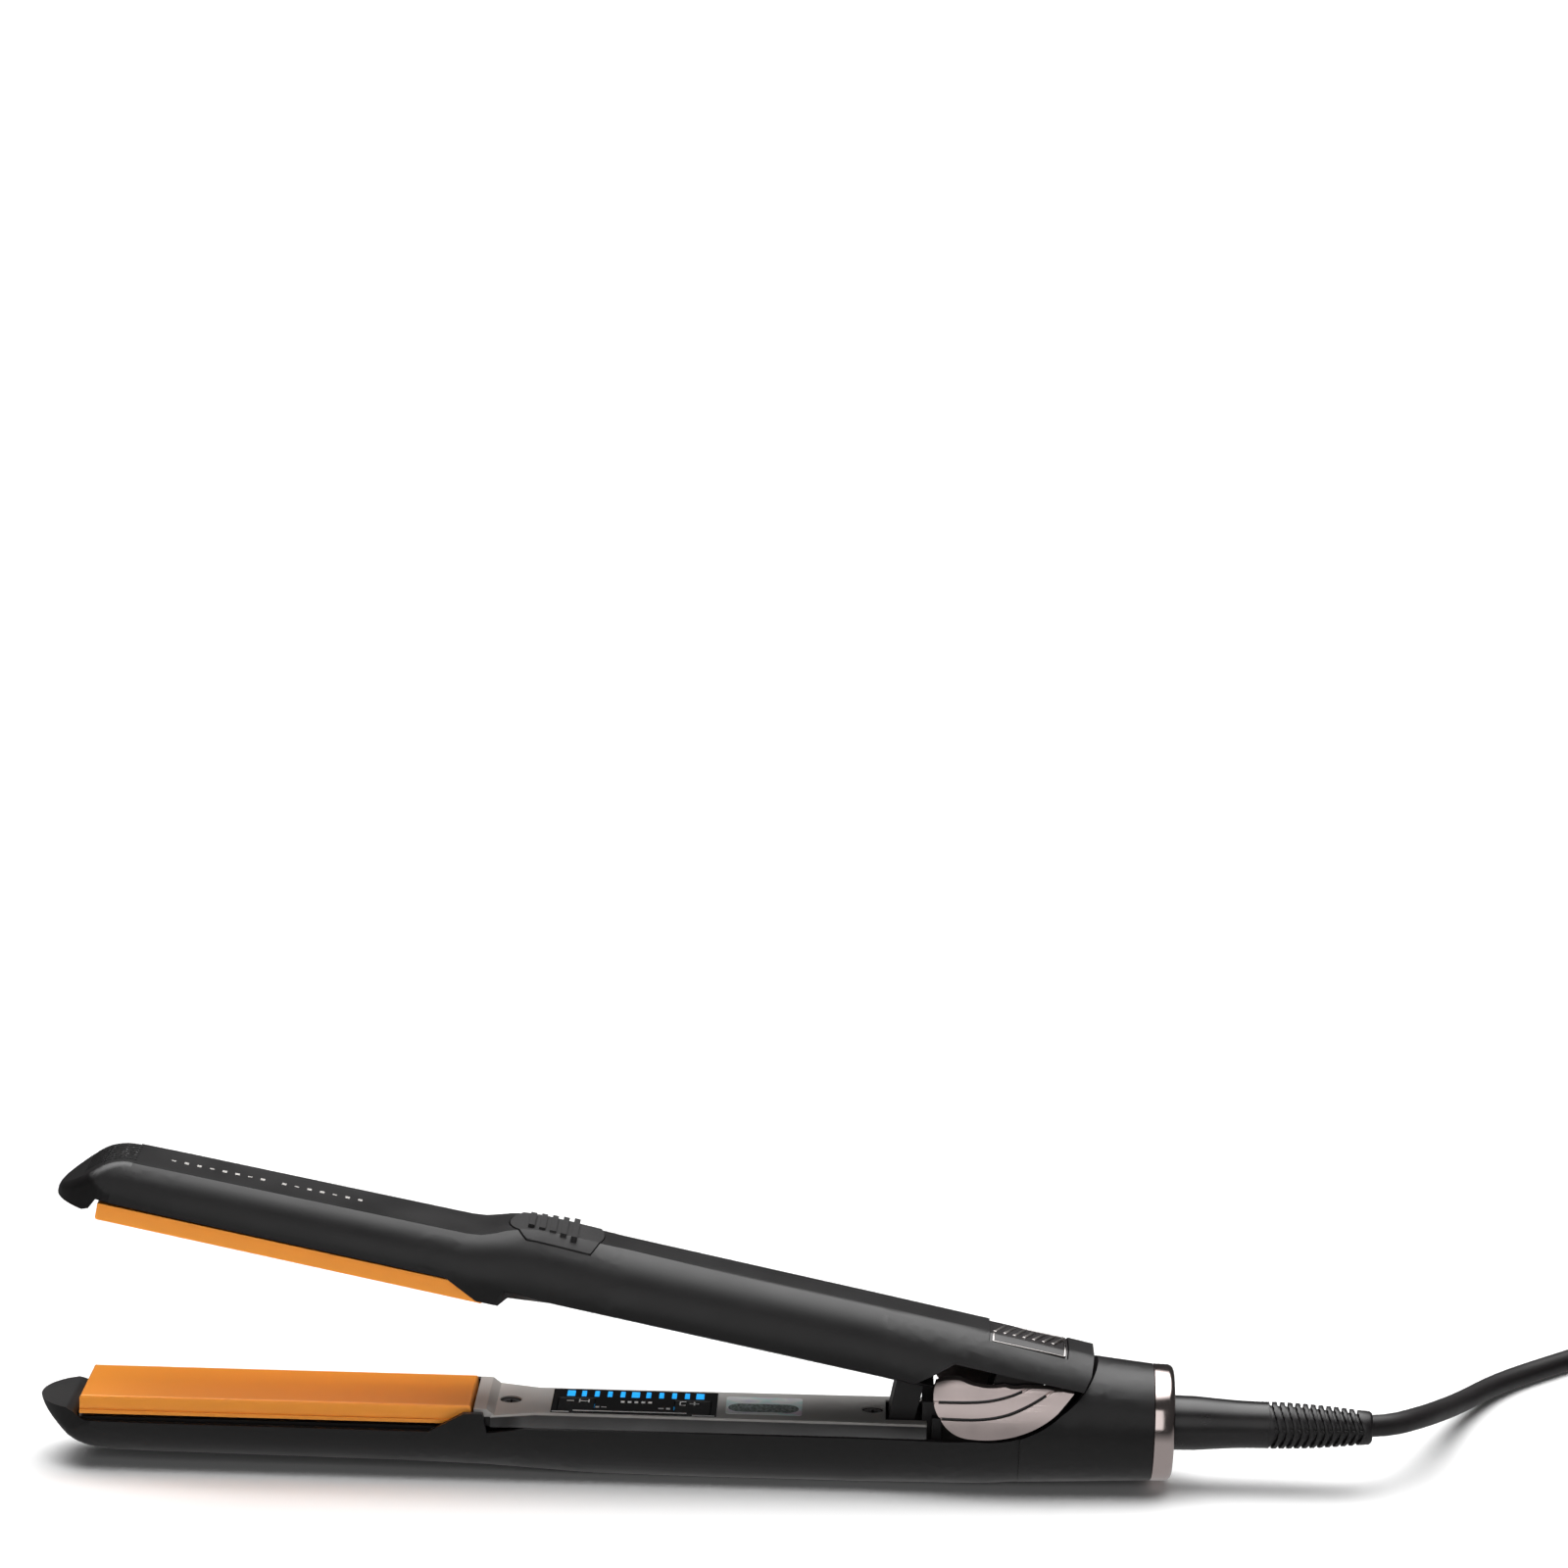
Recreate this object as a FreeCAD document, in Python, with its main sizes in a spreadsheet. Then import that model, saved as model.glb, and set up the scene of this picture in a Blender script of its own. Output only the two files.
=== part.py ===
"""Flat iron (hair straightener): two hinged arms with heated plates, a cord swivel and a mains cord.

Every piece is drawn in the closed state along +X, from the nose at x = 0 to the cord end, with the plane
where the two plates meet at height 0.  Depth is counted away from that plane.  Placement then stands the
lower arm on its base and opens the upper arm about the hinge pin.
"""
import FreeCAD
import Part
import Sketcher
import math
import os

V = FreeCAD.Vector
doc = FreeCAD.newDocument("flat_iron")


# ---------------------------------------------------------------- driving dimensions (mm, degrees)
SIZES = {
    "total_length": 332.0,      # nose to the end of the strain relief
    "plane_height": 19.4,       # meeting plane of the plates above the table
    "open_angle": 11.3,         # the arms stand open by this much at rest
    "pivot_x": 241.8,
    "wall": 1.8,
    "nose_radius": 13.8,
    "nose_round": 3.2,
    "plate_round": 0.8,
    "plate_start": 11.2,
    "plate_length": 97.0,
    "plate_width": 25.0,
    "plate_thick": 3.6,
    "plate_skin": 0.1,          # each plate face stands back this far from the meeting plane
    "flange_thick": 0.9,
    "float_room": 0.8,
    "rim_nose": 3.4,
    "rim_plate": 6.3,
    "upper_rim_nose": 2.0,      # the upper casing comes down closer to its plate
    "upper_rim_plate": 5.6,
    "rim_handle": 5.0,
    "shoulder_start": 108.9,
    "cover_start": 113.0,
    "cover_end": 221.0,
    "cover_face": 2.2,          # lower inner cover below the meeting plane
    "upper_face": 3.3,          # upper inner cover above the meeting plane
    "cover_thick": 1.6,
    "face_half": 10.2,
    "barrel_start": 262.0,
    "barrel_end": 277.0,
    "barrel_radius": 17.1,
    "barrel_drop": 2.1,
    "collar_radius": 14.6,
    "collar_drop": 3.4,
    "collar_width": 5.2,
    "collar_wall": 1.7,
    "neck_radius": 6.85,
    "neck_end_radius": 5.8,
    "neck_end": 306.0,
    "relief_end_radius": 4.0,
    "cord_radius": 2.8,
    "cord_clear": 0.3,
    "pin_radius": 2.5,
    "pin_clear": 0.06,
    "pin_half": 13.4,
    "ear_inner": 6.6,
    "ear_outer": 9.7,
    "cheek_inner": 10.1,
    "cheek_outer": 13.2,
    "ear_radius": 6.0,
    "panel_start": 127.6,
    "panel_end": 168.8,
    "panel_half": 9.4,
    "key_inset": 1.6,
    "key_length": 9.0,
    "key_gap": 0.15,
    "key_travel": 0.4,
    "panel_thick": 1.5,
    "led_pitch": 3.23,
    "led_width": 1.2,
    "board_drop": 9.0,
    "board_thick": 1.6,
    "screw_head_radius": 2.5,
    "screw_radius": 1.25,
    "front_screw_x": 117.3,
    "rear_screw_x": 207.6,
    "badge_start": 232.0,
    "badge_end": 252.2,
    "badge_half": 8.4,
    "grip_start": 110.2,
    "grip_end": 134.2,
    "grip_half": 9.4,
    "button_start": 140.0,
    "button_end": 149.6,
    "button_half": 4.6,
    "strip_start": 151.8,
    "strip_end": 208.5,
    "coil_x": 275.0,
    "coil_y": 90.0,
    "coil_turn_radius": 31.8,
    "coil_band": 22.7,
    "coil_height": 11.3,
    "plug_width": 35.0,
    "plug_height": 13.7,
    "plug_length": 35.5,
    "plug_pin_radius": 2.0,
    "plug_pin_length": 19.0,
    "plug_pin_gap": 18.6,
}

dims = doc.addObject("Spreadsheet::Sheet", "Dims")
for row, (alias, amount) in enumerate(SIZES.items(), start=1):
    dims.set("A%d" % row, alias)
    dims.set("B%d" % row, repr(amount))
    dims.setAlias("B%d" % row, alias)
doc.recompute()


class Size:
    """A number together with the sheet expression that gives it, so that features follow the sheet."""

    def __init__(self, value, text):
        self.value = value
        self.text = text

    def _join(self, other, sign, result, flip=False):
        other = as_size(other)
        pair = (other.text, self.text) if flip else (self.text, other.text)
        return Size(result, "(%s %s %s)" % (pair[0], sign, pair[1]))

    def __add__(self, other):
        return self._join(other, "+", self.value + as_size(other).value)

    def __radd__(self, other):
        return self._join(other, "+", as_size(other).value + self.value, flip=True)

    def __sub__(self, other):
        return self._join(other, "-", self.value - as_size(other).value)

    def __rsub__(self, other):
        return self._join(other, "-", as_size(other).value - self.value, flip=True)

    def __mul__(self, other):
        return self._join(other, "*", self.value * as_size(other).value)

    def __rmul__(self, other):
        return self._join(other, "*", as_size(other).value * self.value, flip=True)

    def __truediv__(self, other):
        return self._join(other, "/", self.value / as_size(other).value)

    def __neg__(self):
        return Size(-self.value, "(0 - %s)" % self.text)


def as_size(number):
    return number if isinstance(number, Size) else Size(float(number), repr(float(number)))


def size(alias):
    return Size(SIZES[alias], "Dims.%s" % alias)


def bind(feature, prop, amount):
    """Sets a property now and binds it to the sheet."""
    amount = as_size(amount)
    feature.setExpression(prop, amount.text)


# ---------------------------------------------------------------- placements of the two arms
HALF_LENGTH = SIZES["total_length"] / 2
PIVOT = V(SIZES["pivot_x"], 0, 0)
Y_AXIS = V(0, 1, 0)
STAND = FreeCAD.Placement(V(-HALF_LENGTH, 0, SIZES["plane_height"]), FreeCAD.Rotation())
OPEN = FreeCAD.Placement(V(0, 0, 0), FreeCAD.Rotation(Y_AXIS, SIZES["open_angle"]), PIVOT)
LOWER = STAND
UPPER = STAND.multiply(OPEN)
ON_TABLE = FreeCAD.Placement()
PLACES = {-1: LOWER, 1: UPPER}          # side -1 is the lower arm, +1 the upper arm
TURNED_OVER = FreeCAD.Placement(V(0, 0, 0), FreeCAD.Rotation(V(1, 0, 0), 180))
nodes = []


# ---------------------------------------------------------------- sketch and feature helpers
def new_body(label, place):
    body = doc.addObject("PartDesign::Body", label)
    body.Label = label
    body.Placement = place
    nodes.append(body)
    return body


def sketch_on(body, role, offset=0.0):
    """An empty sketch on one of the body's own planes, moved along that plane's normal."""
    sketch = body.newObject("Sketcher::SketchObject", body.Label + "_sketch")
    plane = [f for f in body.Origin.OriginFeatures if f.Role == role][0]
    sketch.AttachmentSupport = (plane, "")
    sketch.MapMode = "FlatFace"
    bind(sketch, "AttachmentOffset.Base.z", offset)
    return sketch


def pin_point(sketch, edge, end, point):
    """Holds one end of an edge at a point given by two sizes."""
    for kind, amount in (("DistanceX", point[0]), ("DistanceY", point[1])):
        amount = as_size(amount)
        index = sketch.addConstraint(Sketcher.Constraint(kind, -1, 1, edge, end, amount.value))
        sketch.setExpression("Constraints[%d]" % index, amount.text)


def arc_between(start, end, radius, bulge):
    """The short arc of that radius from start to end, bulging left (+1) or right (-1) of the chord."""
    chord = end - start
    left = V(-chord.y, chord.x, 0).normalize()
    rest = math.sqrt(max(radius ** 2 - (chord.Length / 2) ** 2, 0.0))
    centre = (start + end) * 0.5 - left * bulge * rest
    first, last = (end, start) if bulge > 0 else (start, end)
    from_angle = math.atan2(first.y - centre.y, first.x - centre.x)
    to_angle = math.atan2(last.y - centre.y, last.x - centre.x)
    return Part.ArcOfCircle(Part.Circle(centre, V(0, 0, 1), radius), from_angle, to_angle)


def outline(sketch, corners):
    """A closed outline. A corner is (x, y), or (x, y, radius, bulge) for an arc to the next corner."""
    points = [V(as_size(c[0]).value, as_size(c[1]).value, 0) for c in corners]
    first = sketch.GeometryCount
    for number, corner in enumerate(corners):
        start, end = points[number], points[(number + 1) % len(points)]
        if len(corner) == 2:
            sketch.addGeometry(Part.LineSegment(start, end), False)
        else:
            sketch.addGeometry(arc_between(start, end, as_size(corner[2]).value, corner[3]), False)
    for number, corner in enumerate(corners):
        start, end = points[number], points[(number + 1) % len(points)]
        edge = first + number
        begins = edge_end(sketch, edge, start)
        pin_point(sketch, edge, begins, corner)
        following = first + (number + 1) % len(corners)
        sketch.addConstraint(Sketcher.Constraint(
            "Coincident", edge, edge_end(sketch, edge, end), following, edge_end(sketch, following, end)))
        if len(corner) > 2:
            radius = as_size(corner[2])
            index = sketch.addConstraint(Sketcher.Constraint("Radius", edge, radius.value))
            sketch.setExpression("Constraints[%d]" % index, radius.text)


def edge_end(sketch, edge, point):
    """1 or 2: which end of the edge lies at the point. An arc may run either way."""
    shape = sketch.Geometry[edge]
    return 1 if shape.StartPoint.distanceToPoint(point) < shape.EndPoint.distanceToPoint(point) else 2


def circle(sketch, x, y, radius):
    radius = as_size(radius)
    centre = V(as_size(x).value, as_size(y).value, 0)
    edge = sketch.addGeometry(Part.Circle(centre, V(0, 0, 1), radius.value), False)
    pin_point(sketch, edge, 3, (x, y))
    index = sketch.addConstraint(Sketcher.Constraint("Radius", edge, radius.value))
    sketch.setExpression("Constraints[%d]" % index, radius.text)


def rectangle(sketch, x0, x1, y0, y1):
    outline(sketch, [(x0, y0), (x1, y0), (x1, y1), (x0, y1)])


def feature(body, kind, sketch, **settings):
    made = body.newObject("PartDesign::" + kind, body.Label + "_" + kind)
    made.Profile = sketch
    for name, setting in settings.items():
        if isinstance(setting, Size):
            bind(made, name, setting)
        else:
            setattr(made, name, setting)
    return made


def pad(body, sketch, length, both=False, back=False):
    return feature(body, "Pad", sketch, Length=as_size(length), Midplane=both, Reversed=back)


def pocket(body, sketch, length, both=False, back=False):
    return feature(body, "Pocket", sketch, Length=as_size(length), Midplane=both, Reversed=back)


def pad_away(body, sketch, length, side):
    """A pad that grows away from the meeting plane."""
    return pad(body, sketch, length, back=side < 0)


def pocket_away(body, sketch, length, side):
    """A pocket that cuts away from the meeting plane."""
    return pocket(body, sketch, length, back=side > 0)


def pocket_towards(body, sketch, length, side):
    """A pocket that cuts towards the meeting plane."""
    return pocket(body, sketch, length, back=side < 0)


def loft(body, sketches, cut=False):
    made = feature(body, "SubtractiveLoft" if cut else "AdditiveLoft", sketches[0])
    made.Sections = sketches[1:]
    made.Ruled = True
    return made


def turned(body, corners):
    """A solid turned about the body's own X axis from a half section of (x, radius) corners."""
    sketch = sketch_on(body, "XZ_Plane")
    outline(sketch, corners)
    made = feature(body, "Revolution", sketch, Angle=as_size(360.0))
    made.ReferenceAxis = (sketch, ["H_Axis"])
    return made


def box(label, place, side, x, y, depth, radius=0.0):
    """A block between two x, two y and two depths from the meeting plane, with rounded upright edges."""
    body = new_body(label, place)
    sketch = sketch_on(body, "XY_Plane", side * as_size(depth[0]))
    rectangle(sketch, x[0], x[1], y[0], y[1])
    pad_away(body, sketch, as_size(depth[1]) - as_size(depth[0]), side)
    if radius:
        round_upright(body, radius)
    return body


def round_upright(body, radius):
    doc.recompute()
    tip = body.Tip
    upright = []
    for number, edge in enumerate(tip.Shape.Edges, start=1):
        ends = [vertex.Point for vertex in edge.Vertexes]
        if len(ends) == 2 and abs((ends[1] - ends[0]).normalize().z) > 0.999:
            upright.append("Edge%d" % number)
    fillet = body.newObject("PartDesign::Fillet", body.Label + "_Fillet")
    fillet.Base = (tip, upright)
    bind(fillet, "Radius", radius)
    return fillet


# ---------------------------------------------------------------- arm sections
# Stations along the arm: x, half width, depth of the upright flank, full depth and
# half width of the flat back.
LOWER_STATIONS = [
    (0.0, 13.8, 4.0, 15.0, 8.6),
    (30.0, 14.7, 4.5, 15.4, 8.9),
    (90.0, 15.0, 4.5, 15.9, 8.9),
    (112.0, 15.0, 4.5, 16.6, 8.2),
    (138.0, 14.8, 4.8, 18.7, 6.4),
    (165.0, 14.7, 5.0, 19.4, 5.0),
    (205.0, 14.8, 5.0, 19.4, 5.0),
    (235.0, 16.2, 3.5, 19.2, 4.6),
    (258.0, 15.8, 2.1, 17.6, 3.8),
]
UPPER_STATIONS = [
    (0.0, 13.8, 4.0, 15.0, 8.6),
    (30.0, 14.7, 4.5, 15.4, 8.9),
    (90.0, 15.0, 4.5, 15.9, 8.9),
    (101.0, 15.0, 4.5, 16.0, 8.9),
    (104.5, 15.0, 4.5, 16.4, 8.8),
    (107.5, 15.0, 4.6, 17.4, 8.4),
    (110.5, 15.0, 4.6, 18.6, 7.7),
    (113.5, 15.0, 4.7, 19.4, 7.1),
    (118.0, 14.9, 4.8, 19.9, 6.6),
    (124.0, 14.9, 4.8, 20.0, 6.2),
    (140.0, 14.7, 5.0, 19.8, 5.4),
    (205.0, 14.8, 5.0, 19.6, 5.0),
    (235.0, 16.2, 3.8, 19.4, 4.8),
    (258.6, 16.8, 2.6, 18.9, 4.4),
]
FLAT_SHRINK = 0.6       # the flat back narrows by this share of an inset


def station_at(stations, x):
    """The section's four sizes at any x, in line between the two stations beside it."""
    for before, after in zip(stations, stations[1:]):
        if before[0] <= x <= after[0]:
            share = (x - before[0]) / (after[0] - before[0])
            return [a + (b - a) * share for a, b in zip(before, after)]
    raise ValueError("no station at %g" % x)


def arm_section(body, side, station, inset, overlap=0.0):
    """One closed cross section of an arm, inset from the outer skin and carried past the meeting plane."""
    x, half, flank, depth, flat = station
    half = as_size(half) - inset
    depth = as_size(depth) - inset
    flat = as_size(flat) - inset * FLAT_SHRINK
    reach = half - flat
    drop = depth - flank
    radius = (reach * reach + drop * drop) / (2.0 * reach)
    sketch = sketch_on(body, "YZ_Plane", x)
    bulge = float(side)
    outline(sketch, [
        (half, -side * overlap),
        (half, side * flank, radius, -bulge),
        (flat, side * depth),
        (-flat, side * depth, radius, -bulge),
        (-half, side * flank),
        (-half, -side * overlap),
    ])
    return sketch


def arm_loft(body, side, stations, inset=0.0, cut=False, overlap=0.0):
    inset = as_size(inset)
    sketches = [arm_section(body, side, station, inset, overlap) for station in stations]
    return loft(body, sketches, cut)


def stations_between(stations, start, end):
    inner = [s for s in stations if start < s[0] < end]
    return [station_at(stations, start)] + inner + [station_at(stations, end)]


SIDE_REACH = 60.0       # pockets across the whole arm are this wide
OUTSIDE = 30.0          # a distance well outside the arm's section


def cut_nose(body, side):
    """Rounds the nose in plan and bevels it from the rim back to the flat."""
    nose = size("nose_radius")
    plan = sketch_on(body, "XY_Plane")
    outline(plan, [(-2.0, -OUTSIDE), (nose, -OUTSIDE), (nose, -nose, nose, 1.0), (0.0, 0.0, nose, 1.0),
                   (nose, nose), (nose, OUTSIDE), (-2.0, OUTSIDE)])
    pocket(body, plan, SIDE_REACH, both=True)
    profile = sketch_on(body, "XZ_Plane")
    outline(profile, [(-3.0, side * 1.4), (8.35, side * 11.73, 13.3, side * 1.0), (17.4, side * 15.22),
                      (17.4, side * 24.0), (-3.0, side * 24.0)])
    pocket(body, profile, SIDE_REACH, both=True)
    round_nose(body, side)


def round_nose(body, side):
    """Rounds the edge between the nose's bevel and its upright skin."""
    doc.recompute()
    tip = body.Tip
    edges = []
    for number, edge in enumerate(tip.Shape.Edges, start=1):
        box = edge.BoundBox
        depths = sorted((abs(box.ZMin), abs(box.ZMax)))
        if box.XMax < 17.6 and box.XLength > 1.0 and depths[0] > 3.6 and depths[1] > 7.0:
            edges.append("Edge%d" % number)
    fillet = body.newObject("PartDesign::Fillet", body.Label + "_Fillet")
    fillet.Base = (tip, edges)
    bind(fillet, "Radius", size("nose_round"))


SHOULDER_RIM = 1.4      # the rim rises this close to the meeting plane at the shoulder
NOSE_STEPS = {-1: [(9.6, 4.3), (11.0, 5.5), (12.8, 6.3)], 1: [(9.2, 2.8), (10.6, 5.6)]}


def cut_rim(body, side, tail):
    """Lowers the rim: raised at the nose and the shoulder, lower beside the plate and the handle."""
    prefix = "" if side < 0 else "upper_"
    nose, plate, handle = size(prefix + "rim_nose"), size(prefix + "rim_plate"), size("rim_handle")
    steps = [(x, side * depth) for x, depth in NOSE_STEPS[side]]
    shoulder = size("shoulder_start")
    profile = sketch_on(body, "XZ_Plane")
    outline(profile, [
        (-2.0, -side * 2.0), (-2.0, side * nose), (7.6, side * nose)] + steps + [
        (98.0, side * plate), (106.5, side * SHOULDER_RIM),
        (shoulder + 2.4, side * SHOULDER_RIM), (shoulder + 3.4, side * plate),
        (size("cover_start") + 9.0, side * handle)] + tail)
    pocket(body, profile, SIDE_REACH, both=True)


POST_TOP = 6.6          # the screw posts start this deep, right under the inner cover


def screw_posts(body, side, depths):
    """Posts that the inner cover is screwed to."""
    for screw, depth in zip(("front_screw_x", "rear_screw_x"), depths):
        sketch = sketch_on(body, "XY_Plane", side * POST_TOP)
        circle(sketch, size(screw), 0.0, 3.2)
        circle(sketch, size(screw), 0.0, size("screw_radius"))
        pad_away(body, sketch, depth - POST_TOP, side)


# ---------------------------------------------------------------- arm casings
SCOOP_RADIUS = 27.0     # side view radius of the scoop that the upper arm's tail moves in
SCOOP_START = 233.0
SCOOP_FLOOR = 4.6


def lower_casing():
    body = new_body("lower_casing", LOWER)
    side = -1
    arm_loft(body, side, LOWER_STATIONS)
    cut_rim(body, side, [
        (226.0, -size("rim_handle")), (SCOOP_START, -SCOOP_FLOOR, SCOOP_RADIUS, -1.0), (252.8, 1.2),
        (252.8, 4.0), (226.0, 4.0)])
    barrel = [sketch_on(body, "YZ_Plane", 244.0), sketch_on(body, "YZ_Plane", size("barrel_end"))]
    circle(barrel[0], 0.0, -size("barrel_drop"), size("barrel_radius"))
    circle(barrel[1], 0.0, -size("collar_drop"), size("collar_radius"))
    loft(body, barrel)
    arm_loft(body, side, stations_between(LOWER_STATIONS, 10.4, 246.0), size("wall"), cut=True, overlap=3.0)
    hollow = [sketch_on(body, "YZ_Plane", 242.0), sketch_on(body, "YZ_Plane", size("barrel_end") - 2.4)]
    circle(hollow[0], 0.0, -size("barrel_drop"), size("barrel_radius") - size("wall"))
    circle(hollow[1], 0.0, -size("collar_drop"), size("collar_radius") - size("wall"))
    loft(body, hollow, cut=True)
    mouth = sketch_on(body, "YZ_Plane", size("barrel_end"))
    circle(mouth, 0.0, -size("collar_drop"), 9.4)
    pocket(body, mouth, 4.0)
    scoop = sketch_on(body, "XZ_Plane")
    outline(scoop, [(200.0, -SCOOP_FLOOR), (SCOOP_START, -SCOOP_FLOOR, SCOOP_RADIUS, -1.0),
                    (254.0, 2.6, SCOOP_RADIUS, -1.0), (264.8, 16.5), (264.8, 20.0), (200.0, 20.0)])
    pocket(body, scoop, SIDE_REACH, both=True)
    cut_nose(body, side)
    screw_posts(body, side, (16.2, 18.6))


def upper_casing():
    body = new_body("upper_casing", UPPER)
    side = 1
    arm_loft(body, side, UPPER_STATIONS)
    cut_rim(body, side, [
        (216.4, 5.0), (219.8, 7.6), (224.8, 11.6), (257.4, 11.6), (259.6, 18.2), (262.0, 18.2),
        (262.0, -3.0)])
    arm_loft(body, side, stations_between(UPPER_STATIONS, 10.4, 256.6), size("wall"), cut=True, overlap=3.0)
    cut_nose(body, side)
    for plan in (grip_plan, badge_plan):
        window = sketch_on(body, "XY_Plane", 15.0)
        plan(window, 0.0)
        pocket_away(body, window, 8.0, side)
    screw_posts(body, side, (14.6, 18.6))
    web = sketch_on(body, "XY_Plane", 9.0)
    rectangle(web, size("front_screw_x") - 0.9, size("front_screw_x") + 0.9, -12.6, -2.6)
    rectangle(web, size("front_screw_x") - 0.9, size("front_screw_x") + 0.9, 2.6, 12.6)
    pad_away(body, web, 3.0, side)
    for outer in (size("ear_outer"), -size("ear_inner")):
        ear = sketch_on(body, "XZ_Plane", outer)
        ear_outline(ear)
        pad(body, ear, size("ear_outer") - size("ear_inner"), back=True)


def grip_plan(sketch, play):
    """Plan of the thumb grip: bowed at both ends, straight along the sides."""
    start, end = size("grip_start") + play, size("grip_end") - play
    half = size("grip_half") - play
    outline(sketch, [(start + 5.2, -half), (end - 2.6, -half, 18.0, -1.0), (end - 2.6, half),
                     (start + 5.2, half, 11.2, -1.0)])


def badge_plan(sketch, play):
    rectangle(sketch, size("badge_start") + play, size("badge_end") - play,
              -size("badge_half") + play, size("badge_half") - play)


def button_plan(sketch, play):
    rectangle(sketch, size("button_start") - play, size("button_end") + play,
              -size("button_half") - play, size("button_half") + play)


EAR_TOP = 15.3          # the ears join the casing's back beside the badge window


def ear_outline(sketch):
    """One hinge ear of the upper arm, from inside its back down around the pin."""
    x, radius = size("pivot_x"), size("ear_radius")
    outline(sketch, [(x - radius, 0.0, radius, -1.0), (x, -radius, radius, -1.0), (x + radius, 0.0),
                     (x + radius, EAR_TOP), (x - radius, EAR_TOP)])
    circle(sketch, x, 0.0, size("pin_radius") + size("pin_clear"))


# ---------------------------------------------------------------- inner covers
# Stations of an inner cover: x, half width of its face, half width where it sits on the rim.
COVER_STATIONS = [(113.0, 13.2, 13.9), (124.0, 9.9, 13.6), (204.0, 10.5, 13.6), (221.0, 10.8, 14.0)]


def cover_section(body, side, x, face_half, foot_half, face, foot):
    sketch = sketch_on(body, "YZ_Plane", x)
    outline(sketch, [(-foot_half, side * foot), (foot_half, side * foot),
                     (face_half, side * face), (-face_half, side * face)])
    return sketch


def inner_cover(label, place, side, face_name):
    """Cover over the handle's open side, with a raised shoulder at the plate's end."""
    body = new_body(label, place)
    face = size(face_name)
    rim = size("rim_handle")
    loft(body, [cover_section(body, side, x, top, foot, face, rim) for x, top, foot in COVER_STATIONS])
    shoulder = sketch_on(body, "XZ_Plane")
    outline(shoulder, [(size("shoulder_start"), side * rim), (size("shoulder_start"), side * 0.7),
                       (112.0, side * 0.7), (114.0, side * face), (114.0, side * rim)])
    pad(body, shoulder, 25.6, both=True)
    under = sketch_on(body, "XY_Plane", side * rim)
    rectangle(under, 116.0 - 5.0, size("cover_end") - 1.6, -8.8, 8.8)
    pocket_towards(body, under, rim - face - size("cover_thick"), side)
    for screw in ("front_screw_x", "rear_screw_x"):
        post = sketch_on(body, "XY_Plane", side * POST_TOP)
        circle(post, size(screw), 0.0, 3.6)
        pad(body, post, POST_TOP - face - 0.6, back=side > 0)
        for radius, depth in ((size("screw_head_radius"), 2.0), (size("screw_radius"), 6.0)):
            hole = sketch_on(body, "XY_Plane", side * face)
            circle(hole, size(screw), 0.0, radius + 0.2)
            pocket_away(body, hole, depth, side)
    return body


def window_in_cover(body, side, face, x0, x1, half, depth):
    sketch = sketch_on(body, "XY_Plane", side * face)
    rectangle(sketch, x0, x1, -half, half)
    pocket_away(body, sketch, depth, side)


def lower_inner_cover():
    body = inner_cover("lower_inner_cover", LOWER, -1, "cover_face")
    face = size("cover_face")
    window_in_cover(body, -1, face, size("panel_start"), size("panel_end"), size("panel_half"), 4.0)
    window_in_cover(body, -1, face, 210.8, 222.0, 7.6, 4.0)


def upper_inner_cover():
    body = inner_cover("upper_inner_cover", UPPER, 1, "upper_face")
    sketch = sketch_on(body, "XY_Plane", size("upper_face"))
    button_plan(sketch, size("key_gap"))
    pocket_away(body, sketch, 4.0, 1)
    window_in_cover(body, 1, size("upper_face"), 212.2, 219.4, 6.1, 4.0)


def cover_screws(label, side, face_name):
    """Two self-tapping screws, one solid each."""
    screws = []
    top = -(size(face_name) + 0.5)
    for screw in ("front_screw_x", "rear_screw_x"):
        name = label + screw
        head = cylinder(name + "_head", size("screw_head_radius"), 1.4, (size(screw), 0.0, top - 1.4))
        shank = cylinder(name + "_shank", size("screw_radius") - 0.05, 8.4, (size(screw), 0.0, top - 9.4))
        slot = block(name + "_slot", (3.4, 0.7, 1.0), (size(screw) - 1.7, -0.35, top - 0.6))
        screws.append(cut(name, fuse(name + "_blank", head, shank), slot))
    compound(label, screws, side)


def cylinder(name, radius, height, low):
    made = doc.addObject("Part::Cylinder", name)
    bind(made, "Radius", radius)
    bind(made, "Height", height)
    return moved(made, low)


def block(name, lengths, low):
    made = doc.addObject("Part::Box", name)
    for prop, amount in zip(("Length", "Width", "Height"), lengths):
        bind(made, prop, amount)
    return moved(made, low)


def moved(made, low):
    for axis, amount in zip("xyz", low):
        bind(made, "Placement.Base." + axis, amount)
    return made


def cut(name, base, tool):
    made = doc.addObject("Part::Cut", name)
    made.Base, made.Tool = base, tool
    return made


def fuse(name, base, tool):
    made = doc.addObject("Part::Fuse", name)
    made.Base, made.Tool = base, tool
    return made


def compound(label, parts, side):
    """Several like solids in one node, drawn for the lower arm and turned over for the upper."""
    both = doc.addObject("Part::Compound", label)
    both.Links = parts
    both.Label = label
    both.Placement = PLACES[side] if side < 0 else PLACES[side].multiply(TURNED_OVER)
    nodes.append(both)
    return both


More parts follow.
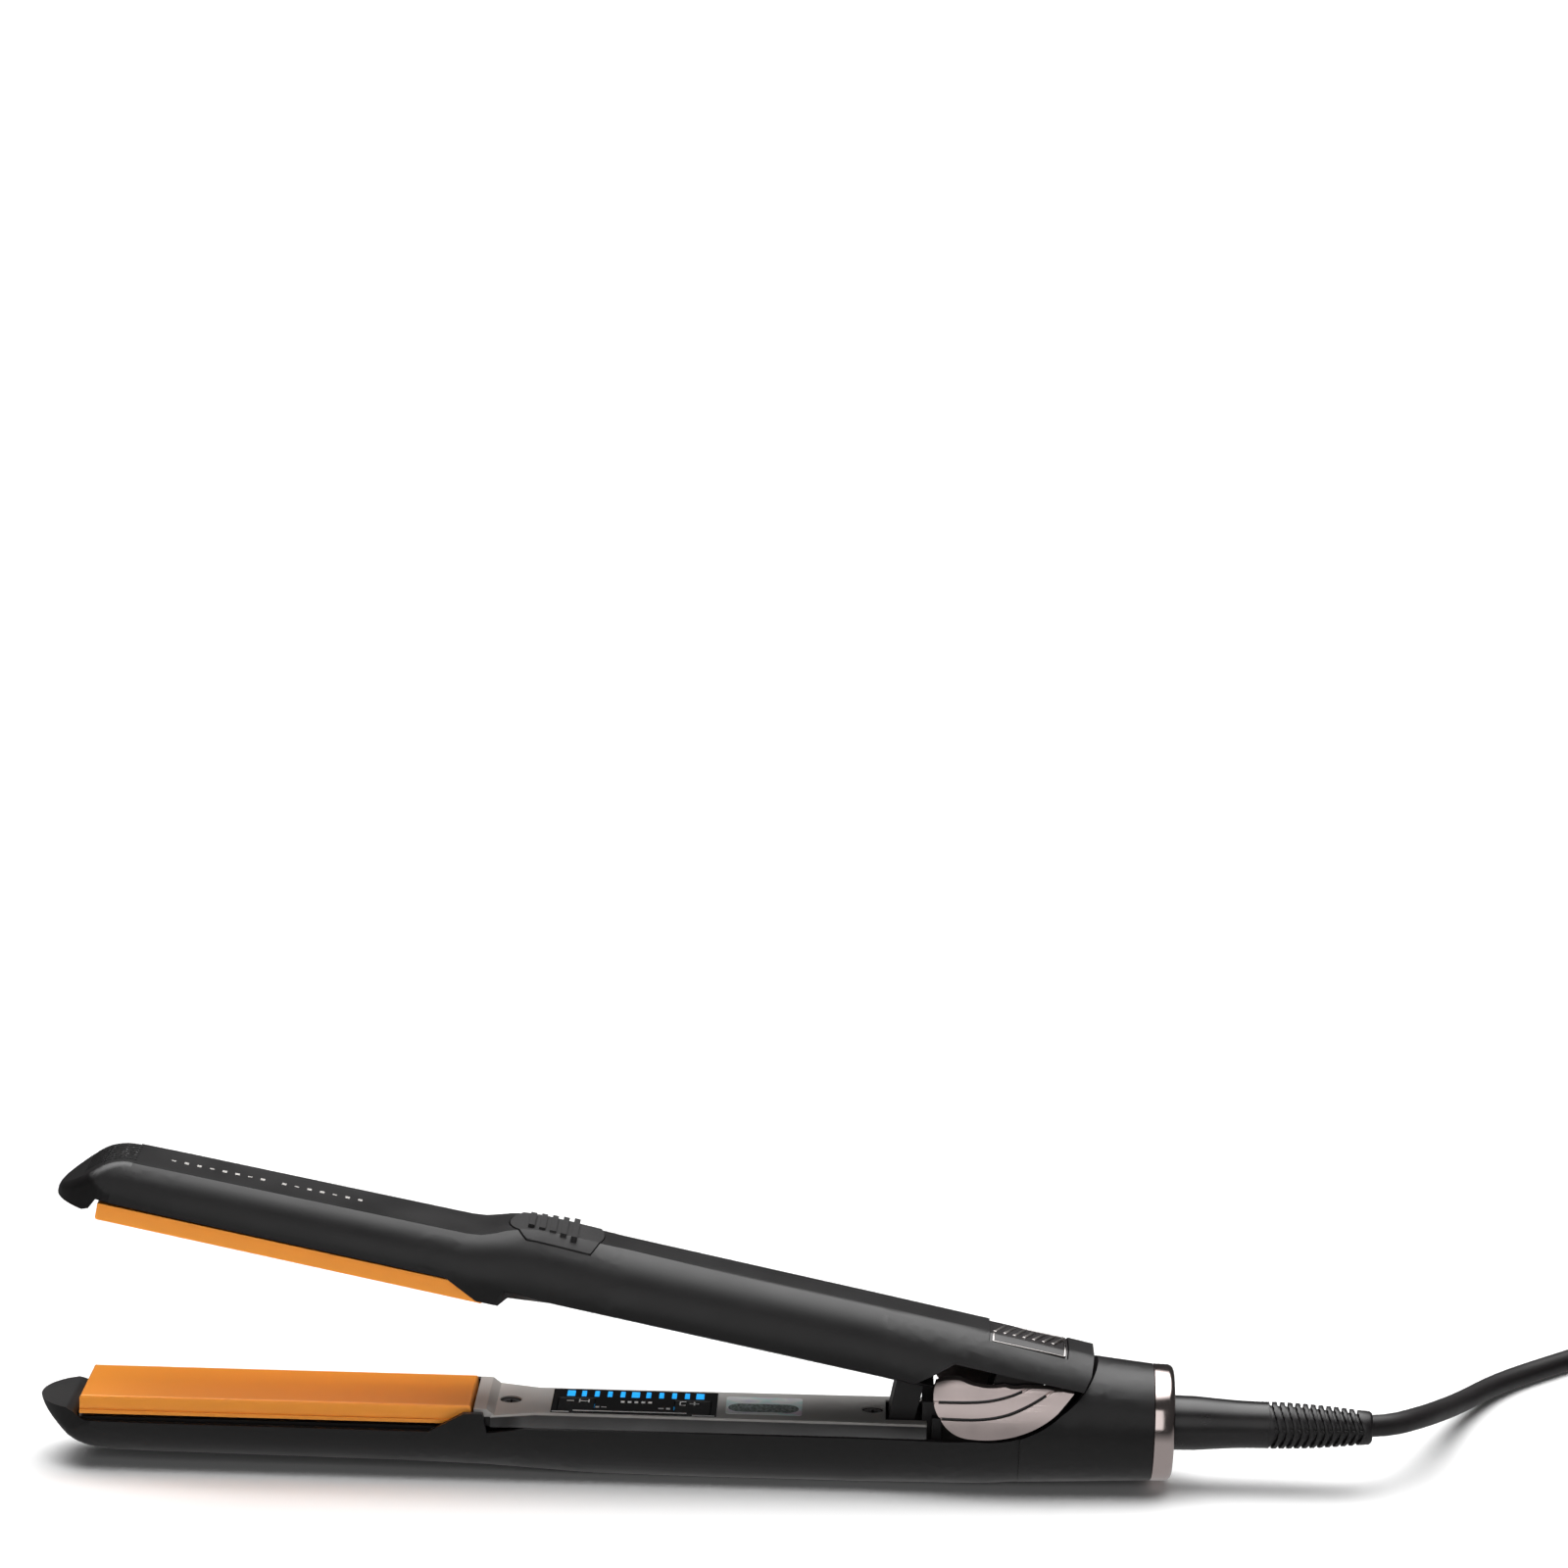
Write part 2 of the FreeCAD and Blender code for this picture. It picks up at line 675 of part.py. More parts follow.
# ---------------------------------------------------------------- heated plates
def plate_group(prefix, side):
    """Plate, flange, ceramic heater and its clip move together; the carrier stays in the casing."""
    place = PLACES[side]
    start, length = size("plate_start"), size("plate_length")
    half = size("plate_width") / 2.0
    skin, thick, flange = size("plate_skin"), size("plate_thick"), size("flange_thick")
    back = skin + thick
    body = new_body(prefix + "_plate", place)
    face = sketch_on(body, "XY_Plane", side * skin)
    rectangle(face, start, start + length, -half, half)
    pad_away(body, face, thick, side)
    round_plate(body, side, skin)
    lip = sketch_on(body, "XY_Plane", side * back)
    rectangle(lip, start - 0.2, start + length + 0.2, -half - 0.5, half + 0.5)
    pad_away(body, lip, flange, side)
    low = back + flange
    box(prefix + "_heater", place, side, (start + 10.0, start + length - 12.0), (-4.5, 4.5),
        (low, low + 1.5))
    clip(prefix + "_heater_clip", place, side, start, length, low)
    carrier(prefix + "_plate_carrier", place, side, start, length, low + size("float_room") + 0.3)


def round_plate(body, side, skin):
    """Rounds the plate's face edges, which hair slides over."""
    doc.recompute()
    tip = body.Tip
    level = side * skin.value
    rim = []
    for number, edge in enumerate(tip.Shape.Edges, start=1):
        if all(abs(vertex.Point.z - level) < 0.001 for vertex in edge.Vertexes):
            rim.append("Edge%d" % number)
    fillet = body.newObject("PartDesign::Fillet", body.Label + "_Fillet")
    fillet.Base = (tip, rim)
    bind(fillet, "Radius", size("plate_round"))


def clip(label, place, side, start, length, low):
    """Channel-shaped spring clip that holds the heater to the plate's back."""
    body = new_body(label, place)
    sketch = sketch_on(body, "YZ_Plane", start + 18.0)
    inside, sheet, foot = 4.9, 0.6, 7.0
    roof, outside = low + 1.6, 5.5
    outline(sketch, [(-foot, side * low), (-inside, side * low), (-inside, side * roof),
                     (inside, side * roof), (inside, side * low), (foot, side * low),
                     (foot, side * (low + sheet)), (outside, side * (low + sheet)),
                     (outside, side * (roof + sheet)), (-outside, side * (roof + sheet)),
                     (-outside, side * (low + sheet)), (-foot, side * (low + sheet))])
    pad(body, sketch, length - 38.0)


def carrier(label, place, side, start, length, top):
    """Heat-proof tray under the plate; its edge lip shows as a dark line round the plate."""
    body = new_body(label, place)
    sketch = sketch_on(body, "XY_Plane", side * top)
    rectangle(sketch, start - 0.4, start + length - 0.6, -12.0, 12.0)
    pad_away(body, sketch, 1.2, side)
    tub = sketch_on(body, "XY_Plane", side * top)
    rectangle(tub, start + 1.0, start + length - 1.6, -10.3, 10.3)
    pad_away(body, tub, 4.8, side)
    hollow = sketch_on(body, "XY_Plane", side * top)
    rectangle(hollow, start + 4.0, start + length - 5.0, -9.4, 9.4)
    pocket_away(body, hollow, 3.4, side)


def cushions(label, side):
    """Two silicone blocks that the plate floats on, drawn pressed in by the plate's full travel."""
    plate_back = size("plate_skin") + size("plate_thick") + size("flange_thick")
    top = plate_back + 2.2 + size("float_room") + 0.2
    bottom = plate_back + size("float_room") + 0.3 + 3.4
    blocks = [block("%s_block%d" % (label, number), (6.0, 9.0, bottom - top),
                    (size("plate_start") + shift, -4.5, -bottom))
              for number, shift in enumerate((24.0, 68.0))]
    compound(label, blocks, side)


# ---------------------------------------------------------------- controls on the lower arm
def keys_and_display():
    gap, face, thick = size("key_gap"), size("cover_face"), size("panel_thick")
    start, end, half = size("panel_start"), size("panel_end"), size("panel_half")
    inset, length = size("key_inset"), size("key_length")
    window = box("display_window", LOWER, -1, (start, end), (-half, half), (face, face + thick), 0.6)
    for label, x in (("minus_button", start + inset), ("plus_button", end - inset - length)):
        box(label, LOWER, -1, (x, x + length), (-8.0, 2.4), (face, face + thick), 1.0)
        opening = sketch_on(window, "XY_Plane", -face)
        rectangle(opening, x - gap, x + length + gap, -8.0 - gap, 2.4 + gap)
        pocket_away(window, opening, 4.0, -1)
    guides = []
    for number in range(11):
        x = (start + end) / 2.0 + (number - 5) * size("led_pitch")
        wide = size("led_width") * (1.7 if number % 5 == 0 else 1.0) / 2.0
        slot = sketch_on(window, "XY_Plane", -face)
        rectangle(slot, x - wide, x + wide, 4.0, 8.4)
        pocket_away(window, slot, 4.0, -1)
        guides.append(block("guide%d" % number, (wide * 2.0 - 0.06, 4.34, thick + 1.6),
                            (x - wide + 0.03, 4.03, -face - thick - 1.6)))
    compound("led_light_guides", guides, -1)
    low = size("board_drop")
    board = box("control_board", LOWER, -1, (122.6, 202.0), (-8.6, 8.6),
                (low, low + size("board_thick")), 1.0)
    post = sketch_on(board, "XY_Plane", -low)
    circle(post, 198.0, 5.6, 1.1)
    pocket_away(board, post, 4.0, -1)
    switches = []
    for number, x in enumerate((start + inset + length / 2.0, end - inset - length / 2.0)):
        base = block("switch%d" % number, (6.0, 6.0, 3.4), (x - 3.0, -5.8, -low))
        key = cylinder("plunger%d" % number, 1.6, low - 3.4 - face - thick - size("key_travel") - 0.2,
                       (x, -2.8, -low + 3.4))
        switches.append(fuse("tact%d" % number, base, key))
    compound("tact_switches", switches, -1)
    chips = [block("chip%d" % number, sizes, low_corner) for number, (sizes, low_corner) in enumerate((
        ((7.0, 7.0, 1.6), (172.0, -4.0, -low)), ((9.0, 10.0, 3.2), (186.0, -5.0, -low)),
        ((3.0, 5.0, 2.4), (181.0, -3.0, -low))))]
    compound("board_components", chips, -1)
    box("control_label", LOWER, -1, (171.0, 190.0), (-6.6, 6.6), (face - 0.12, face), 1.0)


# ---------------------------------------------------------------- hinge
def hinge():
    x = size("pivot_x")
    yoke = new_body("hinge_yoke", LOWER)
    for low, tall, x0, x1, half in ((-9.4, 2.2, 222.2, 248.0, 11.4), (-9.4, 8.6, 222.2, 224.6, 9.8),
                                    (-9.4, 12.0, 219.8, 224.6, 7.2),
                                    (-16.5, 7.3, 228.0, 244.0, 3.2)):
        block_plan = sketch_on(yoke, "XY_Plane", low)
        rectangle(block_plan, x0, x1, -as_size(half), half)
        pad(yoke, block_plan, tall)
    for outer in (size("cheek_outer"), -size("cheek_inner")):
        cheek = sketch_on(yoke, "XZ_Plane", outer)
        outline(cheek, [(x - 6.6, -9.2), (x + 6.6, -9.2), (x + 5.4, 0.0, 5.4, -1.0),
                        (x, 5.4, 5.4, -1.0), (x - 5.4, 0.0)])
        circle(cheek, x, 0.0, size("pin_radius"))
        pad(yoke, cheek, size("cheek_outer") - size("cheek_inner"), back=True)
    pin = new_body("hinge_pin", LOWER)
    section = sketch_on(pin, "XZ_Plane")
    circle(section, x, 0.0, size("pin_radius"))
    pad(pin, section, size("pin_half") * 2.0, both=True)
    washers = []
    for number, y in enumerate((-6.4, 5.8)):
        disc = cylinder("washer%d" % number, 4.6, 0.6, (0.0, 0.0, y))
        bore = cylinder("washer_bore%d" % number, 2.7, 2.0, (0.0, 0.0, y - 0.5))
        washers.append(cut("washer_ring%d" % number, disc, bore))
    both = compound("hinge_washers", washers, -1)
    both.Placement = LOWER.multiply(FreeCAD.Placement(V(x.value, 0, 0), FreeCAD.Rotation(V(1, 0, 0), -90)))
    spring()
    leaf_caps()
    guide = new_body("wire_guide", UPPER)
    fin = sketch_on(guide, "XZ_Plane")
    outline(fin, [(212.6, -8.6), (219.0, -8.6), (219.2, 3.2), (219.2, 6.6), (212.4, 6.6), (212.4, 3.2)])
    pad(guide, fin, 12.0, both=True)
    channel = sketch_on(guide, "XY_Plane", -10.0)
    circle(channel, 216.0, 0.0, 1.9)
    pocket(guide, channel, 20.0, back=True)


def spring():
    """Close-wound torsion spring round the pin, as one ring for each turn, with a short leg at each end."""
    wire, radius, turns = 0.8, 4.6, 5
    pitch = wire * 2.0 + 0.05
    start = -pitch * (turns - 1) / 2.0
    pieces = []
    for turn in range(turns):
        ring = doc.addObject("Part::Torus", "spring_turn%d" % turn)
        bind(ring, "Radius1", radius)
        bind(ring, "Radius2", wire)
        pieces.append(moved(ring, (0.0, 0.0, start + pitch * turn)))
    for number, height in enumerate((start - pitch, -start + pitch)):
        leg = cylinder("spring_leg%d" % number, wire, 7.0, (radius, 0.0, height))
        turn = FreeCAD.Rotation(V(1, 0, 0), 90 - 180 * number)
        leg.Placement = FreeCAD.Placement(V(-radius, 0, height), turn)
        pieces.append(leg)
    made = compound("hinge_spring", pieces, -1)
    made.Placement = LOWER.multiply(FreeCAD.Placement(PIVOT, FreeCAD.Rotation(V(1, 0, 0), -90)))


LEAF_TOP = 10.1


def leaf_caps():
    """Leaf-shaped trim over each side of the hinge, curved like the barrel, with two grooves."""
    for label, mirror in (("hinge_cap_front", -1.0), ("hinge_cap_back", 1.0)):
        body = new_body(label, LOWER)
        shell = sketch_on(body, "YZ_Plane", 221.0)
        circle(shell, 0.0, -size("barrel_drop"), size("barrel_radius") + 0.3)
        circle(shell, 0.0, -size("barrel_drop"), size("barrel_radius") - 1.9)
        pad(body, shell, 38.0)
        outside = sketch_on(body, "XZ_Plane")
        leaf = [(222.9, 9.4, 8.0, -1.0), (224.2, 1.4, 9.0, -1.0), (232.0, -3.5, 27.0, -1.0), (253.0, 3.4),
                (257.0, 8.0), (250.0, 8.9), (244.6, 8.9, 9.0, 1.0), (240.0, 9.0, 20.0, 1.0),
                (229.0, LEAF_TOP, 12.0, -1.0)]
        rectangle(outside, 200.0, 280.0, -OUTSIDE, OUTSIDE)
        outline(outside, leaf)
        pocket(body, outside, SIDE_REACH, both=True)
        half = sketch_on(body, "XY_Plane", -OUTSIDE)
        rectangle(half, 200.0, 280.0, 0.0, -mirror * OUTSIDE)
        pocket(body, half, SIDE_REACH, back=True)


# ---------------------------------------------------------------- barrel end, swivel and cord
SLIP_RING_XS = (261.0, 266.0)


def swivel():
    drop = size("collar_drop")
    axis = FreeCAD.Placement(V(0, 0, -drop.value), FreeCAD.Rotation())
    place = LOWER.multiply(axis)
    start, outer = size("barrel_end"), size("collar_radius")
    ring = new_body("collar_ring", place)
    turned(ring, [(start, outer - 2.0), (start + size("collar_width"), outer - 2.0),
                  (start + size("collar_width"), outer - 1.2, 1.4, 1.0), (start + 4.0, outer - 0.1),
                  (start, outer)])
    cap = new_body("end_cap", place)
    bore = size("neck_radius") + 0.3
    turned(cap, [(start + 0.2, bore), (start + 4.2, bore), (start + 4.6, outer - 2.1),
                 (start + 0.2, outer - 2.1)])
    neck = new_body("swivel_neck", place)
    cord_bore = size("cord_radius") + size("cord_clear")
    neck_radius, mid, tail = size("neck_radius"), size("neck_end_radius"), size("neck_end")
    turned(neck, [(258.0, cord_bore), (tail, cord_bore), (tail, mid), (start + 6.0, neck_radius),
                  (start - 0.4, neck_radius), (start - 0.4, 9.0), (start - 2.0, 9.0), (start - 2.0, 5.2),
                  (258.0, 5.2)])
    relief = new_body("strain_relief", place)
    last = size("total_length")
    rings, first = 12, tail + 1.2
    pitch = (last - first - 1.0) / rings
    mouth = cord_bore + 0.5
    corners = [(tail, cord_bore), (last - 8.0, cord_bore), (last, mouth), (last, size("relief_end_radius"))]
    for number in range(rings, 0, -1):
        share = (number - 0.5) / rings
        radius = mid + (size("relief_end_radius") + 0.2 - mid) * share
        x = first + pitch * (number - 1)
        corners += [(x + pitch * 0.95, radius), (x + pitch * 0.42, radius),
                    (x + pitch * 0.37, radius - 0.7), (x + 0.02, radius - 0.7)]
    corners.append((tail, mid))
    turned(relief, corners)
    rings = [ring_solid("slip_ring%d" % number, x, 5.2, 6.2, 2.0)
             for number, x in enumerate(SLIP_RING_XS)]
    slip = compound("slip_rings", rings, -1)
    slip.Placement = place.multiply(FreeCAD.Placement(V(0, 0, 0), FreeCAD.Rotation(V(0, 1, 0), 90)))
    brushes = [block("brush%d" % number, (1.6, 3.0, 3.6), (x + 0.2, -1.5, -9.9))
               for number, x in enumerate(SLIP_RING_XS)]
    holder = block("brush_base", (12.0, 9.0, 2.2), (258.4, -4.5, -11.9))
    joined = fuse("brush_pair", fuse("brush_one", holder, brushes[0]), brushes[1])
    brush = compound("brush_block", [joined], -1)
    brush.Placement = place


def ring_solid(name, x, inner, outer, width):
    disc = cylinder(name + "_disc", outer, width, (0.0, 0.0, x))
    bore = cylinder(name + "_bore", inner, width + 2.0, (0.0, 0.0, x - 1.0))
    return cut(name, disc, bore)


# The free cord's route on the table, in the part's own frame: out of the relief, down and away to the coil.
AXIS_HEIGHT = SIZES["plane_height"] - SIZES["collar_drop"]
CORD_RADIUS = SIZES["cord_radius"]
COIL = V(SIZES["coil_x"], SIZES["coil_y"], 0)
OUTER_TURN = SIZES["coil_turn_radius"] + SIZES["coil_band"] / 2 - CORD_RADIUS
LEAD_ROUTE = [(150.0, 0.0, AXIS_HEIGHT), (170.0, 0.1, AXIS_HEIGHT), (186.0, 10.5, 12.8), (194.5, 31.0, 8.4),
              (200.0, 55.0, 4.2), (209.5, 78.0, 2.8), (226.0, 98.5, 2.8),
              (COIL.x - OUTER_TURN * math.sqrt(0.5), COIL.y + OUTER_TURN * math.sqrt(0.5), 2.8)]
TAIL_ROUTE = [(COIL.x + OUTER_TURN, COIL.y - 4.0, 8.5), (COIL.x + OUTER_TURN - 0.3, 66.0, 7.0),
              (311.0, 45.0, 4.2), (299.0, 28.0, 4.6), (280.5, 20.5, 6.85)]
PLUG_AT = V(TAIL_ROUTE[-1][0], TAIL_ROUTE[-1][1], 0)
PLUG_HEADING = math.degrees(math.atan2(TAIL_ROUTE[-1][1] - TAIL_ROUTE[-2][1],
                                       TAIL_ROUTE[-1][0] - TAIL_ROUTE[-2][0]))


def cord_tube(label, route):
    """A round cord along straight runs joined by tangent arcs."""
    points = [V(*point) for point in route]
    edges, last, length = [], points[0], 0.0
    for before, corner, after in zip(points, points[1:], points[2:]):
        back, ahead = (before - corner), (after - corner)
        shorter = min(back.Length, ahead.Length)
        half_turn = (math.pi - back.getAngle(ahead)) / 2
        radius = 0.45 * shorter / math.tan(half_turn)
        reach = 0.45 * shorter
        enter, leave = corner + back.normalize() * reach, corner + ahead.normalize() * reach
        inwards = (back + ahead).normalize()
        middle = corner + inwards * (radius / math.cos(half_turn) - radius)
        edges += [Part.LineSegment(last, enter).toShape(), Part.Arc(enter, middle, leave).toShape()]
        last = leave
        print("%s: radius %.1f at %s" % (label, radius, tuple(round(c, 1) for c in corner)))
    edges.append(Part.LineSegment(last, points[-1]).toShape())
    path = Part.Wire(edges)
    profile = Part.Wire(Part.makeCircle(CORD_RADIUS, points[0], points[1] - points[0]))
    made = doc.addObject("Part::Feature", label)
    made.Label = label
    made.Shape = path.makePipeShell([profile], True, False)
    made.Placement = ON_TABLE
    nodes.append(made)
    whole = math.pi * CORD_RADIUS ** 2 * path.Length
    share = made.Shape.Volume / whole
    print("%s: length %.1f, volume over section times length %.4f" % (label, path.Length, share))


def cord_coil():
    """Outer shape of the wound cord: a ring of rounded rectangular section lying on the table."""
    body = new_body("cord_coil", FreeCAD.Placement(COIL, FreeCAD.Rotation()))
    sketch = sketch_on(body, "XZ_Plane")
    turn, band, height, corner = size("coil_turn_radius"), size("coil_band"), size("coil_height"), 2.6
    left, right = turn - band / 2.0, turn + band / 2.0
    outline(sketch, [(left + corner, 0.0), (right - corner, 0.0, corner, -1.0), (right, corner),
                     (right, height - corner, corner, -1.0), (right - corner, height),
                     (left + corner, height, corner, -1.0), (left, height - corner),
                     (left, corner, corner, -1.0)])
    made = feature(body, "Revolution", sketch, Angle=as_size(360.0))
    made.ReferenceAxis = (sketch, ["V_Axis"])


def coil_tie():
    """Hook-and-loop strap round the wound cord."""
    body = new_body("cord_tie", FreeCAD.Placement(COIL, FreeCAD.Rotation(V(0, 0, 1), 200)))
    sketch = sketch_on(body, "YZ_Plane", -6.0)
    turn, band, height = size("coil_turn_radius"), size("coil_band"), size("coil_height")
    inner, outer, strap = turn - band / 2.0 - 0.1, turn + band / 2.0 + 0.1, 1.1
    outline(sketch, [(inner - strap, 0.0), (inner, 0.0), (inner, height + 0.1), (outer, height + 0.1),
                     (outer, 0.0), (outer + strap, 0.0), (outer + strap, height + strap),
                     (inner - strap, height + strap)])
    pad(body, sketch, 12.0)


def plug():
    """Flat two-pin plug lying on the table, pins pointing along -X."""
    place = FreeCAD.Placement(PLUG_AT, FreeCAD.Rotation(V(0, 0, 1), PLUG_HEADING))
    body = new_body("plug_body", place)
    width, tall, length = size("plug_width"), size("plug_height"), size("plug_length")
    middle = tall / 2.0
    shapes = []
    for x, half, high in ((0.0, 4.4, 4.0), (6.0, 7.0, 5.4), (length - 12.0, width / 2.0, middle),
                          (length, width / 2.0, middle)):
        sketch = sketch_on(body, "YZ_Plane", x)
        rectangle(sketch, -as_size(half), half, middle - high, middle + high)
        shapes.append(sketch)
    loft(body, shapes)
    doc.recompute()
    pins = []
    for number, y in enumerate((-1.0, 1.0)):
        pin = cylinder("pin%d" % number, size("plug_pin_radius"), size("plug_pin_length"),
                       (0.0, size("plug_pin_gap") / 2.0 * y, 0.0))
        pins.append(pin)
    both = compound("plug_pins", pins, -1)
    out_of_face = V(SIZES["plug_length"], 0, SIZES["plug_height"] / 2)
    turn = FreeCAD.Placement(out_of_face, FreeCAD.Rotation(V(0, 1, 0), 90))
    both.Placement = place.multiply(turn)


# ---------------------------------------------------------------- pieces on the upper arm
def skin_piece(label, plan, play, proud):
    """A piece of the upper arm's back: it fills a window in the casing and stands proud by a little."""
    body = new_body(label, UPPER)
    stations = stations_between(UPPER_STATIONS, *SKIN_SPANS[label])
    arm_loft(body, 1, stations, -as_size(proud))
    arm_loft(body, 1, stations, size("wall") - 0.2, cut=True, overlap=3.0)
    keep = sketch_on(body, "XY_Plane", -5.0)
    rectangle(keep, 60.0, 290.0, -OUTSIDE, OUTSIDE)
    plan(keep, play)
    pocket(body, keep, SIDE_REACH, back=True)
    low = sketch_on(body, "XZ_Plane")
    rectangle(low, 60.0, 290.0, -OUTSIDE, 14.6)
    pocket(body, low, SIDE_REACH, both=True)
    return body


SKIN_SPANS = {"thumb_grip": (109.0, 136.0), "badge_plate": (230.0, 255.0)}


def upper_trim():
    grip = skin_piece("thumb_grip", grip_plan, 0.12, 0.25)
    for number in range(5):
        x = 115.9 + 2.72 * number
        half = 5.2 + 0.65 * number
        rib = sketch_on(grip, "XY_Plane", 18.2)
        rectangle(rib, x - 0.75, x + 0.75, -half, half)
        pad(grip, rib, 2.6)
    skin_piece("badge_plate", badge_plan, 0.12, -0.55)
    face = size("upper_face")
    box("trim_strip", UPPER, 1, (size("strip_start"), size("strip_end")), (-7.4, 7.4),
        (face - 0.8, face), 1.2)
    box("power_button", UPPER, 1, (size("button_start"), size("button_end")),
        (-size("button_half"), size("button_half")), (face - 1.1, face + 1.8), 1.4)
    box("upper_switch_board", UPPER, 1, (134.0, 156.0), (-7.0, 7.0), (9.6, 11.2), 1.0)
    middle = (size("button_start") + size("button_end")) / 2.0
    base = block("upper_switch_case", (6.0, 6.0, 3.4), (middle - 3.0, -3.0, -9.6))
    reach = 9.6 - 3.4 - (face + 1.8) - size("key_travel") - size("key_gap")
    key = cylinder("upper_plunger", 1.6, reach, (middle, 0.0, -6.2))
    compound("upper_switch", [fuse("upper_switch_whole", base, key)], 1)
    fuse_body = cylinder("fuse_body", 1.5, 9.0, (0.0, 0.0, 0.0))
    thermal = compound("thermal_fuse", [fuse_body], 1)
    beside_plate = FreeCAD.Placement(V(122.5, 4.0, 14.0), FreeCAD.Rotation(V(0, 1, 0), 90))
    thermal.Placement = UPPER.multiply(beside_plate)


# ---------------------------------------------------------------- everything
lower_casing()
upper_casing()
lower_inner_cover()
upper_inner_cover()
for arm, arm_side, arm_face in (("lower", -1, "cover_face"), ("upper", 1, "upper_face")):
    plate_group(arm, arm_side)
    cushions(arm + "_cushions", arm_side)
    cover_screws(arm + "_cover_screws", arm_side, arm_face)
keys_and_display()
hinge()
swivel()
upper_trim()
cord_tube("cord_lead", LEAD_ROUTE)
cord_coil()
cord_tube("cord_tail", TAIL_ROUTE)
coil_tie()
plug()
doc.recompute()


def check_document():
    """Stops before anything is written if a feature failed or a shape is empty or broken."""
    failed = [item.Name for item in doc.Objects if "Invalid" in item.State or "Error" in item.State]
    if failed:
        raise RuntimeError("features that failed: %s" % failed)
    broken = [node.Label for node in nodes if node.Shape.isNull() or not node.Shape.isValid()]
    if broken:
        raise RuntimeError("shapes that are empty or broken: %s" % broken)


def write_parts(folder):
    os.makedirs(folder, exist_ok=True)
    for node in nodes:
        node.Shape.exportStep("%s/%s.step" % (folder, node.Label))


check_document()
write_parts("parts")
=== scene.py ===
import math

import bmesh
import bpy
from bpy.props import FloatProperty, FloatVectorProperty, IntProperty, PointerProperty
from bpy.types import Operator, Panel, PropertyGroup
from mathutils import Matrix, Vector


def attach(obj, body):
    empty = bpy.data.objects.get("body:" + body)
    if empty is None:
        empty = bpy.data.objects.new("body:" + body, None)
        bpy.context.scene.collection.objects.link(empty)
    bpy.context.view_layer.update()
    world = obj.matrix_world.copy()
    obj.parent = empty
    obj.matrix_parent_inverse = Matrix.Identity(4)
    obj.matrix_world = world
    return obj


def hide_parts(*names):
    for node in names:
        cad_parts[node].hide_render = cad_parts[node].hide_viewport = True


bl_info = {
    "name": "Hair straightener",
    "version": (1, 0, 0),
    "blender": (4, 5, 0),
    "location": "View3D > Sidebar > Straightener",
    "description": "A hinged hair straightener with heated plates, touch panel and swivel cord",
    "category": "Object",
}

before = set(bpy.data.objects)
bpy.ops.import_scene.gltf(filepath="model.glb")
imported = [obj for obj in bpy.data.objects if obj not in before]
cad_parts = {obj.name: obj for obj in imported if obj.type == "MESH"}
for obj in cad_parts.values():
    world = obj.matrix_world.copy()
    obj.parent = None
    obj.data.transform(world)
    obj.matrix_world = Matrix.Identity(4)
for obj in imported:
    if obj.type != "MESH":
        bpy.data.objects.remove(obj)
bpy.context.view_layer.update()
MM = 0.001
BARREL_DROP = 2.1           # millimetres from the plates' meeting plane down to the barrel's axis
COLLAR_DROP = 3.4           # and down to the collar's, the neck's and the relief's axis
CORD_BORE = 3.15            # radius of the hole that the cord runs through, in millimetres


# ---------------------------------------------------------------- sizes and colours
def length(name, description, default):
    return FloatProperty(name=name, description=description, default=default, unit="LENGTH")


def colour(name, description, code):
    return FloatVectorProperty(name=name, description=description, default=linear(code), size=4,
                               min=0.0, max=1.0, subtype="COLOR")


def linear(code):
    """An sRGB hex colour as linear red, green, blue and alpha."""
    parts = [int(code[i:i + 2], 16) / 255.0 for i in (1, 3, 5)]
    return tuple(c / 12.92 if c <= 0.04045 else ((c + 0.055) / 1.055) ** 2.4 for c in parts) + (1.0,)


class ArmSizes(PropertyGroup):
    half_length: length("Half length", "Half of the iron's length, nose to cord", 0.166)
    plane: length("Plate plane", "Height of the plates' meeting plane above the table", 0.0194)
    pivot: length("Pivot", "Distance from the nose to the hinge pin", 0.2418)
    opening: FloatProperty(name="Opening", description="Angle between the arms", default=math.radians(11.3),
                           subtype="ANGLE")
    edge: length("Edge radius", "Rounding of the moulded casing's edges", 0.0004)


class PlateSizes(PropertyGroup):
    start: length("Start", "Front end of the plate from the nose", 0.0112)
    run: length("Length", "Length of the plate", 0.097)
    width: length("Width", "Width of the plate", 0.025)
    thick: length("Thickness", "Thickness of the plate", 0.0036)
    skin: length("Gap", "Gap from the plate's face to the meeting plane", 0.0001)
    edge: length("Edge", "Radius of the plate's long edges", 0.0007)


class PanelSizes(PropertyGroup):
    face: length("Drop", "Panel's face below the meeting plane", 0.0022)
    print_height: length("Print", "Thickness of the printed marks", 0.00004)


class CordSizes(PropertyGroup):
    radius: length("Radius", "Radius of the cord's jacket", 0.0028)
    run: length("Length", "Length of the whole cord", 1.7)
    coil_x: length("Coil X", "Middle of the wound cord", 0.275)
    coil_y: length("Coil Y", "Middle of the wound cord", 0.090)
    outer_turn: length("Outer turn", "Radius of the outermost turn", 0.04035)
    step: length("Step", "Distance between neighbouring turns", 0.0057)
    steps_per_turn: IntProperty(name="Points", description="Control points on each turn", default=16, min=12)


